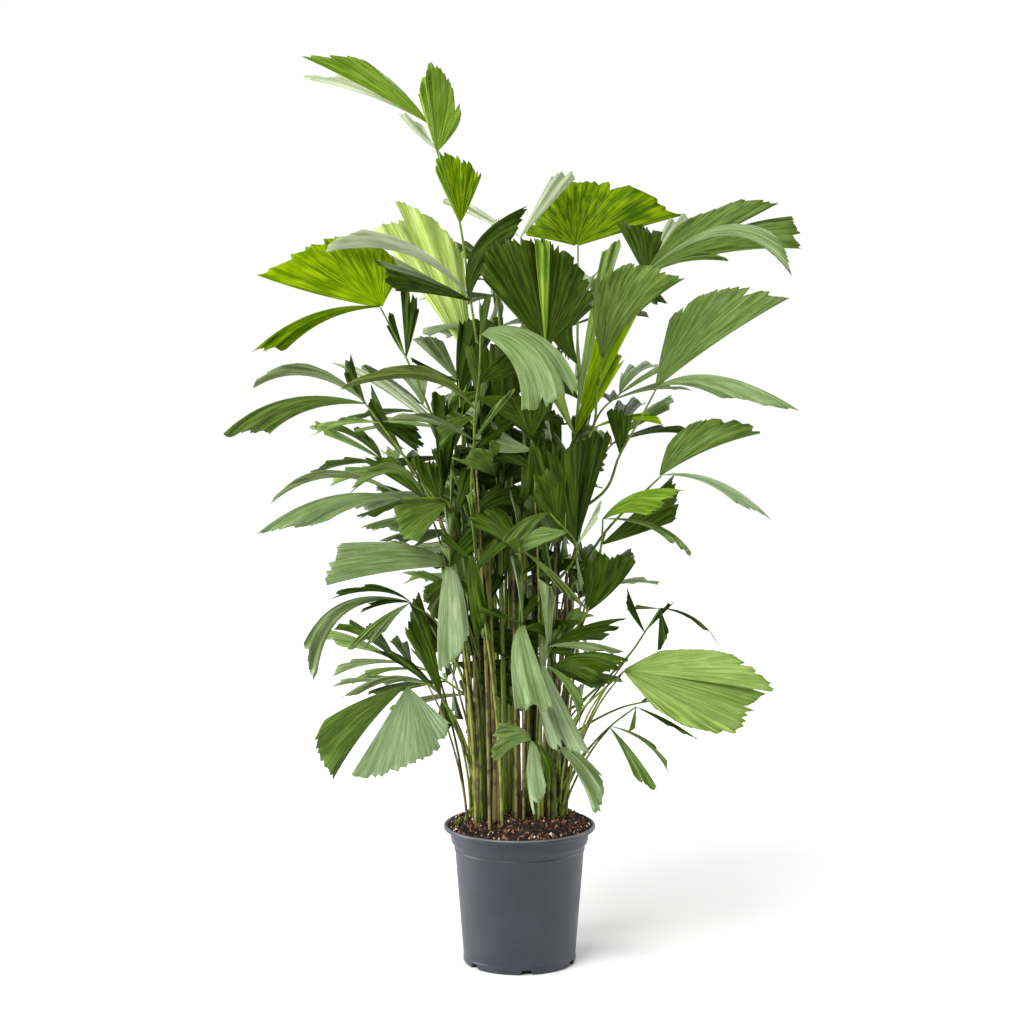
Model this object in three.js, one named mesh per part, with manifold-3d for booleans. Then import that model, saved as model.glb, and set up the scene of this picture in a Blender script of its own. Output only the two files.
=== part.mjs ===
// A clustering fishtail palm in a grower's pot: slender stems, and fronds of fan-ribbed, ragged leaflets.
// Millimetres, +Z up, the origin at the middle of the pot's flat underside. The front faces -Y.
import * as THREE from 'three';
import { mergeVertices } from 'three/addons/utils/BufferGeometryUtils.js';
import Module from 'manifold-3d';

// Driving dimensions of the pot
const RIM_RADIUS = 120;
const POT_HEIGHT = 223;
const BAND_RADIUS = 110;
const BAND_HEIGHT = 27;
const SHOULDER_RADIUS = 103.5;
const FOOT_RADIUS = 89;
const WALL = 2;
const FLOOR = 10.5;
const FOOT_DISC_RADIUS = 62;
const CHANNEL_DEPTH = 4.5;
const FOOT_NOTCH_DEPTH = 8.5;
const FOOT_NOTCHES = 6;
const FOOT_NOTCH_WIDTH = 19;
const FIRST_NOTCH_DEG = 7;
const POT_SEGMENTS = 28;

// Driving dimensions of the soil and of the clearances between neighbours
const SOIL_TOP = 224;
const SOIL_EDGE_DROP = 10;
const CLEARANCE = 0.35;

// Driving dimensions of the stems and the fronds
const STEM_SIDES = 6;
const STEM_STEPS = 4;
const STEM_BEND = 0.35;
const FOOT_SWELL = 1.25;
const PETIOLE_FOOT_RADIUS = 2.6;
const PETIOLE_TIP_RADIUS = 1.3;
const PETIOLE_SIDES = 4;
const LEAF_THINNEST = 1.6;
const LEAF_LENGTH_PER_THICKNESS = 92;
const LEAF_ROOT = 3;
const LEAF_CUP = 0.07;
const TOOTH = 0.05;
const LEAF_LEAN = 0.5;
const LARGE_LEAF = 210;
const SMALL_LEAF = 90;
const STRONG_ARCH = 16;
const WIDE_SPREAD_DEG = 35;
const NARROW_FALLOFF = 1.25;
const FALLOFF_PER_DEGREE = 0.005;

// The crown's front elevation is measured from this point, on the upright plane through the pot's axis.
const VIEWPOINT = new THREE.Vector3(-12, -4500, 1300);

const wasm = await Module();
wasm.setup();

// A point seen at across and up on the elevation, moved along its line of sight to its depth behind it
function sighted([across, depth, up]) {
  const onPlane = new THREE.Vector3(across, 0, up);
  return VIEWPOINT.clone().lerp(onPlane, 1 - depth / VIEWPOINT.y);
}

// A closed three.js geometry as a solid that can be joined and cut
function solidOf(geometry) {
  geometry.deleteAttribute('normal');
  geometry.deleteAttribute('uv');
  const merged = mergeVertices(geometry, 1e-4);
  return new wasm.Manifold(new wasm.Mesh({
    numProp: 3,
    vertProperties: new Float32Array(merged.attributes.position.array),
    triVerts: new Uint32Array(merged.index.array),
  }));
}

// A solid as a named mesh
function meshOf(name, solid, material) {
  const { vertProperties, triVerts } = solid.getMesh();
  const geometry = new THREE.BufferGeometry();
  geometry.setAttribute('position', new THREE.BufferAttribute(new Float32Array(vertProperties), 3));
  geometry.setIndex(new THREE.BufferAttribute(new Uint32Array(triVerts), 1));
  geometry.computeVertexNormals();
  const mesh = new THREE.Mesh(geometry, material);
  mesh.name = name;
  return mesh;
}

// The largest of the bodies that a cut leaves
function largestBody(solid) {
  const bodies = solid.decompose();
  return bodies.reduce((best, body) => (body.volume() > best.volume() ? body : best));
}

// A tapered limb bent along a curve, with flat ends
function limb(curve, footRadius, tipRadius, sides, steps, swell = 1) {
  const geometry = new THREE.CylinderGeometry(1, 1, 1, sides, steps);
  const frames = curve.computeFrenetFrames(steps, false);
  const position = geometry.attributes.position;
  for (let i = 0; i < position.count; i += 1) {
    const t = position.getY(i) + 0.5;
    const k = Math.round(t * steps);
    const radius = THREE.MathUtils.lerp(footRadius, tipRadius, t) * (k === 0 ? swell : 1);
    const point = curve.getPoint(k / steps);
    point.addScaledVector(frames.normals[k], position.getX(i) * radius);
    point.addScaledVector(frames.binormals[k], -position.getZ(i) * radius);
    position.setXYZ(i, point.x, point.y, point.z);
  }
  return solidOf(geometry);
}

// The blade's surface: rays fan out from its foot, the first along its long straight margin.
// Spread is the fan's angle, positive to the left of the way from foot to tip, and short is the
// length of the last ray beside the first. The blade arches over its chord, highest near its crest.
class Blade {
  constructor(joint, tip, level, [spread, short, arch, crest]) {
    const chord = tip.clone().sub(joint);
    const foot = joint.clone().addScaledVector(chord, -LEAF_ROOT / chord.length());
    this.length = chord.length() + LEAF_ROOT;
    this.spread = THREE.MathUtils.degToRad(Math.abs(spread));
    this.hand = Math.sign(spread);
    this.short = short;
    this.falloff = NARROW_FALLOFF - FALLOFF_PER_DEGREE * Math.abs(spread);
    const along = chord.normalize();
    const aside = new THREE.Vector3(-along.z, 0, along.x).normalize();
    const flat = new THREE.Vector3(-along.y, along.x, 0).normalize();
    const lift = level ? along.clone().cross(flat) : aside.clone();
    const middle = foot.clone().lerp(tip, crest).addScaledVector(lift, 2 * arch);
    this.rib = new THREE.QuadraticBezierCurve3(foot, middle, tip);
    this.face = level ? flat : aside.setY(LEAF_LEAN * aside.z).normalize();
    this.rows = this.length > LARGE_LEAF || Math.abs(arch) > STRONG_ARCH ? 3 : 2;
    this.rows = this.length < SMALL_LEAF ? 1 : this.rows;
    this.rays = Math.abs(spread) > WIDE_SPREAD_DEG ? 4 : 2;
    this.thickness = Math.max(LEAF_THINNEST, this.length / LEAF_LENGTH_PER_THICKNESS);
  }

  point(u, t, teeth) {
    const angle = this.spread * t;
    const tooth = 1 - TOOTH * teeth * u;
    const ray = this.length * (1 - (1 - this.short) * Math.max(t, 0) ** this.falloff) * tooth * u;
    const along = Math.cos(angle) * ray / this.length;
    const side = Math.sin(angle) * ray;
    const tangent = this.rib.getTangent(THREE.MathUtils.clamp(along, 0, 1));
    const across = this.face.clone().addScaledVector(tangent, -this.face.dot(tangent)).normalize();
    const cup = LEAF_CUP * this.length * this.short * Math.sin(Math.PI * THREE.MathUtils.clamp(t, 0, 1));
    const start = this.rib.getPoint(THREE.MathUtils.clamp(along, 0, 1));
    start.addScaledVector(tangent, (along - THREE.MathUtils.clamp(along, 0, 1)) * this.length);
    start.addScaledVector(across, this.hand * side);
    return start.addScaledVector(tangent.cross(across), cup * u * (1 - 0.5 * u));
  }

  // The closed solid of the blade, grown all round by a margin
  solid(margin = 0) {
    const vertices = [];
    const step = 0.01;
    const edge = margin / (this.length * this.short * this.spread);
    for (let i = 0; i <= this.rows; i += 1) {
      const u = Math.max(i / this.rows, step) * (1 + margin / this.length);
      for (let j = 0; j <= (i === 0 ? 0 : this.rays); j += 1) {
        const ray = i === 0 ? 0.5 : j / this.rays;
        const t = ray * (1 + 2 * edge) - edge;
        const teeth = j % 2;
        const forward = this.point(u + step, t, teeth).sub(this.point(u - step, t, teeth));
        const sideways = this.point(u, t + step, teeth).sub(this.point(u, t - step, teeth));
        const half = forward.cross(sideways).setLength(this.thickness / 2 + margin);
        const middle = this.point(i === 0 ? 0 : u, t, teeth);
        vertices.push(middle.clone().sub(half), middle.clone().add(half));
      }
    }
    return new wasm.Manifold(new wasm.Mesh({
      numProp: 3,
      vertProperties: new Float32Array(vertices.flatMap((vertex) => vertex.toArray())),
      triVerts: new Uint32Array(fanFaces(this.rows, this.rays)),
    }));
  }
}

// The faces of a fan of rays with two sides and a rim, whose rays meet in one edge at its foot
function fanFaces(rows, rays) {
  const faces = [];
  const low = (i, j) => (i === 0 ? 0 : 2 + 2 * ((i - 1) * (rays + 1) + j));
  const high = (i, j) => low(i, j) + 1;
  const quad = (a, b, c, d) => faces.push(a, b, c, a, c, d);
  for (let j = 0; j < rays; j += 1) {
    faces.push(high(0, j), high(1, j), high(1, j + 1));
    faces.push(low(0, j), low(1, j + 1), low(1, j));
    quad(low(rows, j), low(rows, j + 1), high(rows, j + 1), high(rows, j));
    for (let i = 1; i < rows; i += 1) {
      quad(high(i, j), high(i + 1, j), high(i + 1, j + 1), high(i, j + 1));
      quad(low(i, j), low(i, j + 1), low(i + 1, j + 1), low(i + 1, j));
    }
  }
  for (let i = 0; i < rows; i += 1) {
    quad(low(i, 0), low(i + 1, 0), high(i + 1, 0), high(i, 0));
    quad(high(i, rays), high(i + 1, rays), low(i + 1, rays), low(i, rays));
  }
  return faces;
}

// Stems: foot across and depth, top across, depth and height, foot and top radius
const STEMS = [
  [-68, -5, -85, 10, 560, 5.5, 3.5],
  [-58, -34, -68, -30, 640, 5.5, 3.5],
  [-36, -46, -50, -40, 740, 7, 4.5],
  [-48, 16, -60, 40, 700, 6, 4],
  [-22, -20, -30, -25, 790, 5, 3.2],
  [-4, -42, -8, -35, 700, 8, 5],
  [-14, 18, -15, 35, 840, 7, 4.5],
  [10, -14, 5, -10, 800, 6, 4],
  [16, 34, 25, 60, 760, 6, 4],
  [27, -40, 35, -50, 620, 5.5, 3.5],
  [46, -24, 55, -30, 680, 6, 4],
  [40, 14, 60, 25, 780, 6.5, 4],
  [62, 0, 80, 5, 640, 5, 3.3],
  [-28, 48, -40, 85, 640, 5, 3.3],
  [50, 44, 75, 80, 620, 5, 3.3],
];

// Fronds that show from the front. Each rises from a stem at a height and runs through its points,
// [across, depth, up]. A leaflet is [point, tip across, depth, up, spread, short, arch, crest].
const FRONDS = {
  tall_left: {
    stem: 7,
    from: 800,
    points: [
      [-55, 50, 930], [-76, 60, 1050], [-93, 60, 1172], [-108, 58, 1221], [-128, 55, 1282], [-141, 55, 1322],
    ],
    leaflets: [
      [6, -337, 0, 1424, -24, 0.36, -4, 0.5],
      [6, -337, 130, 1390, -12, 0.5, -10, 0.5],
      [5, -150, 10, 1412, -46, 0.34, 0, 0.5],
      [3, -126, 40, 1282, -40, 0.72, 0, 0.5],
      [5, -188, 150, 1340, -14, 0.5, 4, 0.5],
      [2, 16, -40, 1200, -24, 0.6, 40, 0.4],
      [2, -308, -60, 1126, -8, 0.75, -38, 0.5],
      [2, -231, -120, 1116, 12, 0.8, -8, 0.5],
      [2, -208, 90, 1127, 12, 0.6, 0, 0.5],
    ],
  },
  lime_left: {
    stem: 4,
    from: 640,
    points: [[-120, 0, 830], [-177, -20, 963], [-216, -20, 1040]],
    leaflets: [
      [3, -401, -90, 1089, -117, 0.33, 6, 0.5],
      [2, -186, 45, 1083, -18, 0.7, 0, 0.5],
      [2, -200, 10, 1040, 16, 0.7, 0, 0.5],
      [3, -416, -140, 966, 9, 0.85, -26, 0.5],
    ],
  },
  arching_left: {
    stem: 2,
    from: 560,
    points: [[-140, -40, 744], [-178, -55, 805], [-217, -60, 859], [-239, -60, 889]],
    leaflets: [
      [4, -423, -100, 909, -14, 0.35, -34, 0.6],
      [4, -467, -170, 837, 13, 0.75, -35, 0.55],
      [3, -328, 0, 840, -9, 0.55, -8, 0.5],
      [3, -155, 30, 810, 26, 0.6, 0, 0.5],
      [4, -262, 60, 966, 14, 0.6, 0, 0.5],
      [2, -230, 35, 920, 16, 0.6, 0, 0.5],
    ],
  },
  pale_front: {
    stem: 3,
    from: 620,
    points: [[-75, -85, 739], [-71, -100, 831], [-70, -110, 877], [-63, -120, 932], [-61, -125, 998]],
    leaflets: [
      [3, -294, -190, 907, -10, 0.5, -38, 0.35],
      [5, 2, -270, 875, 30, 0.95, 22, 0.5],
      [4, -20, -80, 980, -14, 0.6, 0, 0.5],
      [2, -211, -220, 864, -8, 0.5, -12, 0.5],
      [2, 0, -160, 920, 8, 0.5, 0, 0.5],
    ],
  },
  dark_upright: {
    stem: 5,
    from: 700,
    points: [[-36, 0, 775]],
    leaflets: [
      [1, -88, 20, 985, -26, 0.95, 0, 0.5],
      [1, -108, -250, 804, -22, 0.6, 0, 0.5],
    ],
  },
  dark_fan: {
    stem: 11,
    from: 600,
    points: [[27, -90, 747], [18, -110, 834]],
    leaflets: [
      [2, -23, -140, 904, -25, 0.75, 0, 0.5],
      [2, 66, -140, 915, 25, 0.75, 0, 0.5],
      [2, -2, -90, 738, 30, 0.85, 0, 0.5],
    ],
  },
  middle_left: {
    stem: 1,
    from: 520,
    points: [[-112, -70, 735], [-151, -95, 742], [-182, -110, 741]],
    leaflets: [
      [2, -250, -60, 804, -26, 0.6, 0, 0.5],
      [2, -273, -170, 744, -12, 0.6, -38, 0.4],
      [3, -398, -150, 725, -8, 0.4, -40, 0.55],
      [3, -412, -220, 686, 15, 0.6, -30, 0.5],
      [3, -260, -70, 712, 12, 0.6, 0, 0.5],
      [1, -164, -180, 663, -52, 0.66, 0, 0.5],
    ],
  },
  glossy_left: {
    stem: 2,
    from: 500,
    points: [[-100, -80, 600], [-116, -105, 634]],
    leaflets: [
      [2, -309, -220, 602, -21, 0.8, -6, 0.5],
      [2, -221, -60, 673, -10, 0.7, 0, 0.5],
      [2, -130, -250, 457, 22, 0.66, -6, 0.4],
      [1, -187, -60, 625, -14, 0.6, 0, 0.5],
    ],
  },
  drooping_left: {
    stem: 1,
    from: 430,
    points: [[-130, -45, 545], [-172, -70, 576]],
    leaflets: [
      [2, -303, -110, 583, -8, 0.5, -16, 0.4],
      [2, -321, -230, 442, -9, 0.8, -54, 0.5],
      [2, -135, -20, 485, 24, 0.7, 0, 0.5],
      [2, -256, -140, 559, -8, 0.6, -6, 0.5],
      [2, -247, -60, 501, 10, 0.6, -8, 0.5],
      [2, -274, 20, 493, 8, 0.5, -12, 0.5],
    ],
  },
  low_left: {
    stem: 1,
    from: 300,
    points: [[-123, -70, 425], [-142, -90, 446], [-179, -110, 442]],
    leaflets: [
      [2, -288, -210, 416, 8, 0.5, -26, 0.5],
      [2, -305, -20, 442, -6, 0.4, -8, 0.5],
      [1, -231, 0, 501, -10, 0.6, -6, 0.5],
      [3, -296, -200, 292, -26, 0.85, -8, 0.5],
      [3, -270, -260, 296, 72, 0.45, 0, 0.5],
      [1, -135, -20, 366, 24, 0.7, 0, 0.5],
    ],
  },
  inner_left: {
    stem: 3,
    from: 520,
    points: [[-78, -150, 650]],
    leaflets: [
      [1, -66, -230, 517, 14, 0.7, -8, 0.5],
      [1, -126, -120, 700, 20, 0.7, 0, 0.5],
    ],
  },
  hanging_front: {
    stem: 6,
    from: 500,
    points: [[8, -130, 541]],
    leaflets: [
      [1, 58, -230, 402, -23, 0.9, 0, 0.5],
      [1, -72, -200, 565, -9, 0.7, 0, 0.5],
    ],
  },
  hanging_right: {
    stem: 10,
    from: 420,
    points: [[40, -105, 477]],
    leaflets: [
      [1, 113, -200, 333, -22, 0.85, 0, 0.5],
      [1, 93, -90, 389, 14, 0.7, 10, 0.5],
    ],
  },
  low_front: {
    stem: 8,
    from: 260,
    points: [[12, -75, 310], [18, -100, 355]],
    leaflets: [
      [2, -44, -200, 314, -36, 0.6, -8, 0.5],
      [2, 23, -190, 233, 18, 0.7, -8, 0.5],
      [2, 34, -150, 276, 20, 0.7, 12, 0.5],
    ],
  },
  low_right: {
    stem: 13,
    from: 290,
    points: [[63, -70, 341]],
    leaflets: [
      [1, 119, -150, 228, 24, 0.62, 8, 0.5],
    ],
  },
  broad_right: {
    stem: 13,
    from: 340,
    points: [[95, -100, 402], [165, -150, 468]],
    leaflets: [
      [2, 406, -230, 437, 34, 0.28, 0, 0.5],
      [2, 349, -240, 367, 21, 1.1, 0, 0.5],
      [2, 349, -240, 367, -20, 0.4, 0, 0.5],
    ],
  },
  slender_right: {
    stem: 15,
    from: 380,
    points: [[110, 0, 430], [172, 10, 493], [197, 10, 530], [220, 10, 567]],
    leaflets: [
      [4, 314, -60, 512, -7, 0.5, 16, 0.5],
      [3, 250, 60, 583, 10, 0.6, 0, 0.5],
      [4, 217, -90, 500, 14, 0.6, 0, 0.5],
      [4, 158, 50, 566, -8, 0.6, 0, 0.5],
      [3, 168, 50, 600, 16, 0.6, 0, 0.5],
    ],
  },
  glossy_right: {
    stem: 11,
    from: 420,
    points: [[48, -75, 470], [43, -90, 506]],
    leaflets: [
      [2, 169, -30, 552, -18, 0.7, 12, 0.5],
      [2, 175, -130, 493, -12, 0.6, 14, 0.5],
      [1, 180, -170, 482, -26, 0.7, 22, 0.45],
      [1, 169, -10, 455, -18, 0.6, 6, 0.5],
      [2, 31, -170, 616, -13, 0.7, 0, 0.5],
    ],
  },
  thin_right: {
    stem: 13,
    from: 250,
    points: [[100, -10, 330], [142, -20, 378], [183, -25, 410]],
    leaflets: [
      [2, 223, -110, 270, -12, 0.7, 6, 0.5],
      [2, 238, -30, 303, 6, 0.5, 14, 0.5],
      [3, 169, -90, 363, 12, 0.6, 0, 0.5],
      [3, 288, 20, 354, -7, 0.5, 6, 0.5],
    ],
  },
  broad_upper_right: {
    stem: 12,
    from: 700,
    points: [[134, 10, 755], [156, 5, 810], [187, 0, 865], [213, 0, 915]],
    leaflets: [
      [4, 409, -80, 1052, 40, 0.44, 6, 0.5],
      [4, 438, -160, 876, -12, 0.6, 34, 0.35],
      [2, 132, 30, 884, -35, 0.85, 0, 0.5],
    ],
  },
  tail_right: {
    stem: 13,
    from: 600,
    points: [[135, -20, 690], [195, -30, 752], [221, -35, 777]],
    leaflets: [
      [3, 381, -20, 845, 46, 0.3, 9, 0.5],
      [3, 394, -140, 708, -7, 0.75, 26, 0.45],
    ],
  },
  folded_right: {
    stem: 11,
    from: 500,
    points: [[106, -60, 562], [128, -75, 670], [130, -80, 708]],
    leaflets: [
      [1, 186, -120, 650, 46, 0.85, -8, 0.5],
      [2, 242, -40, 780, -26, 0.78, 0, 0.5],
      [3, 257, -170, 755, -22, 0.7, 22, 0.5],
      [3, 273, -120, 645, -7, 0.7, 26, 0.6],
    ],
  },
  dark_right: {
    stem: 12,
    from: 600,
    points: [[89, -110, 668], [47, -150, 719]],
    leaflets: [
      [1, 94, -140, 839, 42, 0.62, 0, 0.5],
      [1, 145, -60, 850, 16, 0.9, 0, 0.5],
      [1, 128, -190, 744, -8, 0.6, 0, 0.5],
      [2, -31, -240, 672, 20, 0.7, -12, 0.5],
      [1, 47, -50, 853, 8, 0.6, -25, 0.5],
    ],
  },
  slanting_front: {
    stem: 8,
    from: 600,
    points: [[-1, -170, 664]],
    leaflets: [
      [1, 109, -250, 562, -7, 0.7, 8, 0.5],
    ],
  },
  upright_back: {
    stem: 8,
    from: 760,
    points: [[8, 30, 930], [2, 60, 1060], [2, 80, 1148]],
    leaflets: [
      [3, 94, 100, 1250, 16, 0.8, 0, 0.5],
      [3, -124, 200, 1205, -8, 0.5, 0, 0.5],
    ],
  },
  sunlit_right: {
    stem: 9,
    from: 720,
    points: [[86, 80, 842], [90, 110, 980], [90, 120, 1135]],
    leaflets: [
      [3, 229, 130, 1218, 134, 0.5, 0, 0.5],
      [1, 161, 140, 1150, 5, 0.9, 6, 0.5],
      [1, 190, 70, 1045, 10, 0.7, 0, 0.5],
    ],
  },
  dark_crown: {
    stem: 6,
    from: 660,
    points: [[20, -70, 800], [36, -90, 900], [39, -95, 982]],
    leaflets: [
      [3, -46, -120, 1143, -30, 0.9, 0, 0.5],
      [3, -46, -120, 1143, 15, 0.82, 0, 0.5],
      [3, 48, -110, 1146, -48, 0.6, 0, 0.5],
      [3, 20, -140, 1150, -10, 0.95, 0, 0.5],
    ],
  },
  upper_right: {
    stem: 9,
    from: 740,
    points: [[113, 20, 850], [120, 15, 905], [130, 10, 960], [160, 5, 1025], [194, 0, 1090]],
    leaflets: [
      [5, 437, -60, 1130, 16, 0.96, 14, 0.5],
      [5, 400, -30, 1203, 30, 0.35, 0, 0.5],
      [5, 421, -160, 1088, 7, 0.8, 60, 0.65],
      [5, 147, 60, 1172, -46, 0.8, 0, 0.5],
      [3, 327, -110, 1112, 24, 0.5, 30, 0.5],
      [5, 230, 30, 1045, -30, 0.7, 0, 0.5],
      [5, 268, 80, 1182, 15, 0.8, 0, 0.5],
      [1, 228, 60, 859, 8, 0.7, 10, 0.5],
    ],
  },
  lime_back: {
    stem: 14,
    from: 600,
    points: [[-70, 130, 800], [-77, 160, 960]],
    leaflets: [
      [2, -194, 200, 1207, -21, 0.62, 0, 0.5],
      [2, -226, 210, 1163, -11, 0.95, 0, 0.5],
    ],
  },
  grey_left: {
    stem: 4,
    from: 680,
    points: [[-85, 60, 800], [-95, 60, 925]],
    leaflets: [
      [2, -168, 90, 993, -24, 0.75, 0, 0.5],
      [2, -176, 30, 966, 12, 0.6, 0, 0.5],
      [1, -299, 100, 957, -7, 0.5, -16, 0.5],
    ],
  },
  short_left: {
    stem: 2,
    from: 620,
    points: [[-123, 0, 744]],
    leaflets: [
      [1, -138, -20, 914, -18, 0.85, 0, 0.5],
    ],
  },
};

// Fronds on the far side, by rule: [stem, from, heading, reach, climb, leaflet length, leaflet pairs].
// A heading is in degrees from the right towards the back.
const FAR_FRONDS = [
  [9, 700, 72, 270, 330, 180, 2],
  [14, 560, 118, 260, 300, 190, 2],
  [15, 560, 66, 230, 250, 180, 1],
  [7, 760, 100, 190, 325, 170, 1],
  [4, 600, 134, 240, 180, 170, 2],
  [12, 640, 56, 190, 250, 160, 1],
  [14, 460, 98, 250, 170, 190, 1],
  [15, 420, 76, 240, 130, 180, 1],
  [14, 360, 142, 220, 90, 160, 2],
  [15, 330, 20, 180, 70, 150, 1],
  [9, 560, 84, 190, 160, 160, 1],
  [7, 520, 128, 190, 170, 160, 1],
];
const FAR_STEPS = 3;
const FAR_PAIR_HEADING = 40;
const FAR_PAIR_TURN = 12;
const FAR_PAIR_SIZE = 0.85;
const FAR_PAIR_RISE = 0.1;
const FAR_TIP_HEADING = 6;
const FAR_TIP_RISE = 0.25;
const FAR_SHAPE = [24, 0.6, 11, 0.55];

// The pot: a lipped rim over a plain band, a rounded shoulder and a tapering wall on a notched foot
function pot() {
  const bandFoot = POT_HEIGHT - BAND_HEIGHT;
  const profile = [
    [0, 0],
    [FOOT_DISC_RADIUS, 0],
    [FOOT_DISC_RADIUS + 1, CHANNEL_DEPTH],
    [FOOT_RADIUS - 8, CHANNEL_DEPTH],
    [FOOT_RADIUS - 7, 0],
    [FOOT_RADIUS - 2, 0],
    [FOOT_RADIUS, 3],
    [SHOULDER_RADIUS, bandFoot - 9],
    [SHOULDER_RADIUS + 1, bandFoot - 6],
    [BAND_RADIUS - 2, bandFoot - 1],
    [BAND_RADIUS, POT_HEIGHT - 10],
    [RIM_RADIUS, POT_HEIGHT - 7],
    [RIM_RADIUS, POT_HEIGHT - 2],
    [RIM_RADIUS - 3, POT_HEIGHT],
    [BAND_RADIUS - WALL, POT_HEIGHT - 9],
    [BAND_RADIUS - 1.5 - WALL, bandFoot + 2],
    [SHOULDER_RADIUS - WALL, bandFoot - 8],
    [FOOT_RADIUS - WALL, FLOOR],
    [0, FLOOR],
  ];
  const shell = turned(profile);
  const notches = Array.from({ length: FOOT_NOTCHES }, (_, k) => {
    const notch = new THREE.BoxGeometry(14, FOOT_NOTCH_WIDTH, 2 * FOOT_NOTCH_DEPTH);
    notch.translate(FOOT_RADIUS - 2, 0, 0);
    notch.rotateZ(THREE.MathUtils.degToRad(FIRST_NOTCH_DEG - 90 + k * 360 / FOOT_NOTCHES));
    return solidOf(notch);
  });
  return notches.reduce((solid, notch) => solid.subtract(notch), shell);
}

// The soil: fills the pot's inside with a clearance, flat round the stems and lower at the wall
function soil() {
  const bandFoot = POT_HEIGHT - BAND_HEIGHT;
  return turned([
    [0, FLOOR + CLEARANCE],
    [FOOT_RADIUS - WALL - 3, FLOOR + CLEARANCE],
    [FOOT_RADIUS - WALL - 2 * CLEARANCE, FLOOR + 3],
    [SHOULDER_RADIUS - WALL - 2 * CLEARANCE, bandFoot - 8],
    [BAND_RADIUS - 1.5 - WALL - 2 * CLEARANCE, bandFoot + 2],
    [BAND_RADIUS - WALL - 1.6, SOIL_TOP - SOIL_EDGE_DROP],
    [86, SOIL_TOP],
    [0, SOIL_TOP],
  ]);
}

// A solid turned about the upright axis from a profile of radius and height that starts and ends on it
function turned(profile) {
  const points = profile.map(([radius, height]) => new THREE.Vector2(radius, height));
  const geometry = new THREE.LatheGeometry(points, POT_SEGMENTS);
  geometry.rotateX(Math.PI / 2);
  return solidOf(geometry);
}

// A stem's middle line, upright where it leaves the soil
function stemCurve([footX, footY, topX, topY, topZ]) {
  const foot = new THREE.Vector3(footX, footY, SOIL_TOP + CLEARANCE);
  const top = new THREE.Vector3(topX, topY, topZ);
  const rise = (topZ - SOIL_TOP) * STEM_BEND;
  const low = foot.clone().setZ(foot.z + rise);
  const high = top.clone().setZ(top.z - rise);
  return new THREE.CubicBezierCurve3(foot, low, high, top);
}

function stem(row, margin = 0) {
  const [, , , , , footRadius, topRadius] = row;
  return limb(stemCurve(row), footRadius + margin, topRadius + margin, STEM_SIDES, STEM_STEPS, FOOT_SWELL);
}

// The point on a stem's middle line at a height
function stemPoint(row, height) {
  const curve = stemCurve(row);
  let low = 0;
  let high = 1;
  while (high - low > 1e-4) {
    const middle = (low + high) / 2;
    if (curve.getPoint(middle).z < height) {
      low = middle;
    } else {
      high = middle;
    }
  }
  return curve.getPoint(low);
}

// A frond's middle line and its leaflets, in world positions
function frontFrond({ stem: number, from, points, leaflets }) {
  const places = [stemPoint(STEMS[number - 1], from), ...points.map(sighted)];
  const blades = leaflets.map(([point, across, depth, up, ...shape]) => (
    new Blade(places[point], sighted([across, depth, up]), false, shape)));
  return { curve: new THREE.CatmullRomCurve3(places), blades, steps: points.length };
}

// A frond that climbs and bends over along its heading, with pairs of leaflets and one at its tip
function farFrond([number, from, heading, reach, climb, size, pairs]) {
  const start = stemPoint(STEMS[number - 1], from);
  const ahead = THREE.MathUtils.degToRad(heading);
  const places = Array.from({ length: FAR_STEPS + 1 }, (_, k) => {
    const t = k / FAR_STEPS;
    const rise = climb * t * (2 - t);
    const out = reach * t;
    return start.clone().add(new THREE.Vector3(out * Math.cos(ahead), out * Math.sin(ahead), rise));
  });
  const toward = (foot, turn, length, rise) => {
    const angle = ahead + THREE.MathUtils.degToRad(turn);
    const flat = new THREE.Vector3(Math.cos(angle), Math.sin(angle), rise).setLength(length);
    return foot.clone().add(flat);
  };
  const [spread, ...shape] = FAR_SHAPE;
  const blades = [];
  const pair = (foot, turn, length, rise, hand) => {
    const near = toward(foot, turn, length, rise);
    const far = toward(foot, -turn, length, Math.abs(rise));
    blades.push(new Blade(foot, near, true, [hand * spread, ...shape]));
    blades.push(new Blade(foot, far, true, [-hand * spread, ...shape]));
  };
  pair(places[FAR_STEPS], FAR_TIP_HEADING, size, FAR_TIP_RISE, 1);
  for (let k = 1; k <= pairs; k += 1) {
    const turn = FAR_PAIR_HEADING + FAR_PAIR_TURN * k;
    pair(places[FAR_STEPS - k], turn, size * FAR_PAIR_SIZE, -FAR_PAIR_RISE, -1);
  }
  return { curve: new THREE.CatmullRomCurve3(places), blades, steps: FAR_STEPS };
}

function petiole({ curve, steps }, margin = 0) {
  const foot = PETIOLE_FOOT_RADIUS + margin;
  return limb(curve, foot, PETIOLE_TIP_RADIUS + margin, PETIOLE_SIDES, steps);
}

const potMaterial = new THREE.MeshStandardMaterial({ color: 0x4d5058, roughness: 0.55, metalness: 0 });
const soilMaterial = new THREE.MeshStandardMaterial({ color: 0x3a2a20, roughness: 0.95, metalness: 0 });
const stemMaterial = new THREE.MeshStandardMaterial({ color: 0x7d8340, roughness: 0.6, metalness: 0 });
const leafMaterial = new THREE.MeshStandardMaterial({ color: 0x4f7a34, roughness: 0.5, metalness: 0 });

const group = new THREE.Group();
group.add(meshOf('pot', pot(), potMaterial));
group.add(meshOf('soil', soil(), soilMaterial));

const clearOfStems = STEMS.map((row) => stem(row, CLEARANCE));
STEMS.forEach((row, k) => {
  const name = `stem_${String(k + 1).padStart(2, '0')}`;
  group.add(meshOf(name, stem(row), stemMaterial.clone()));
});

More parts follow.
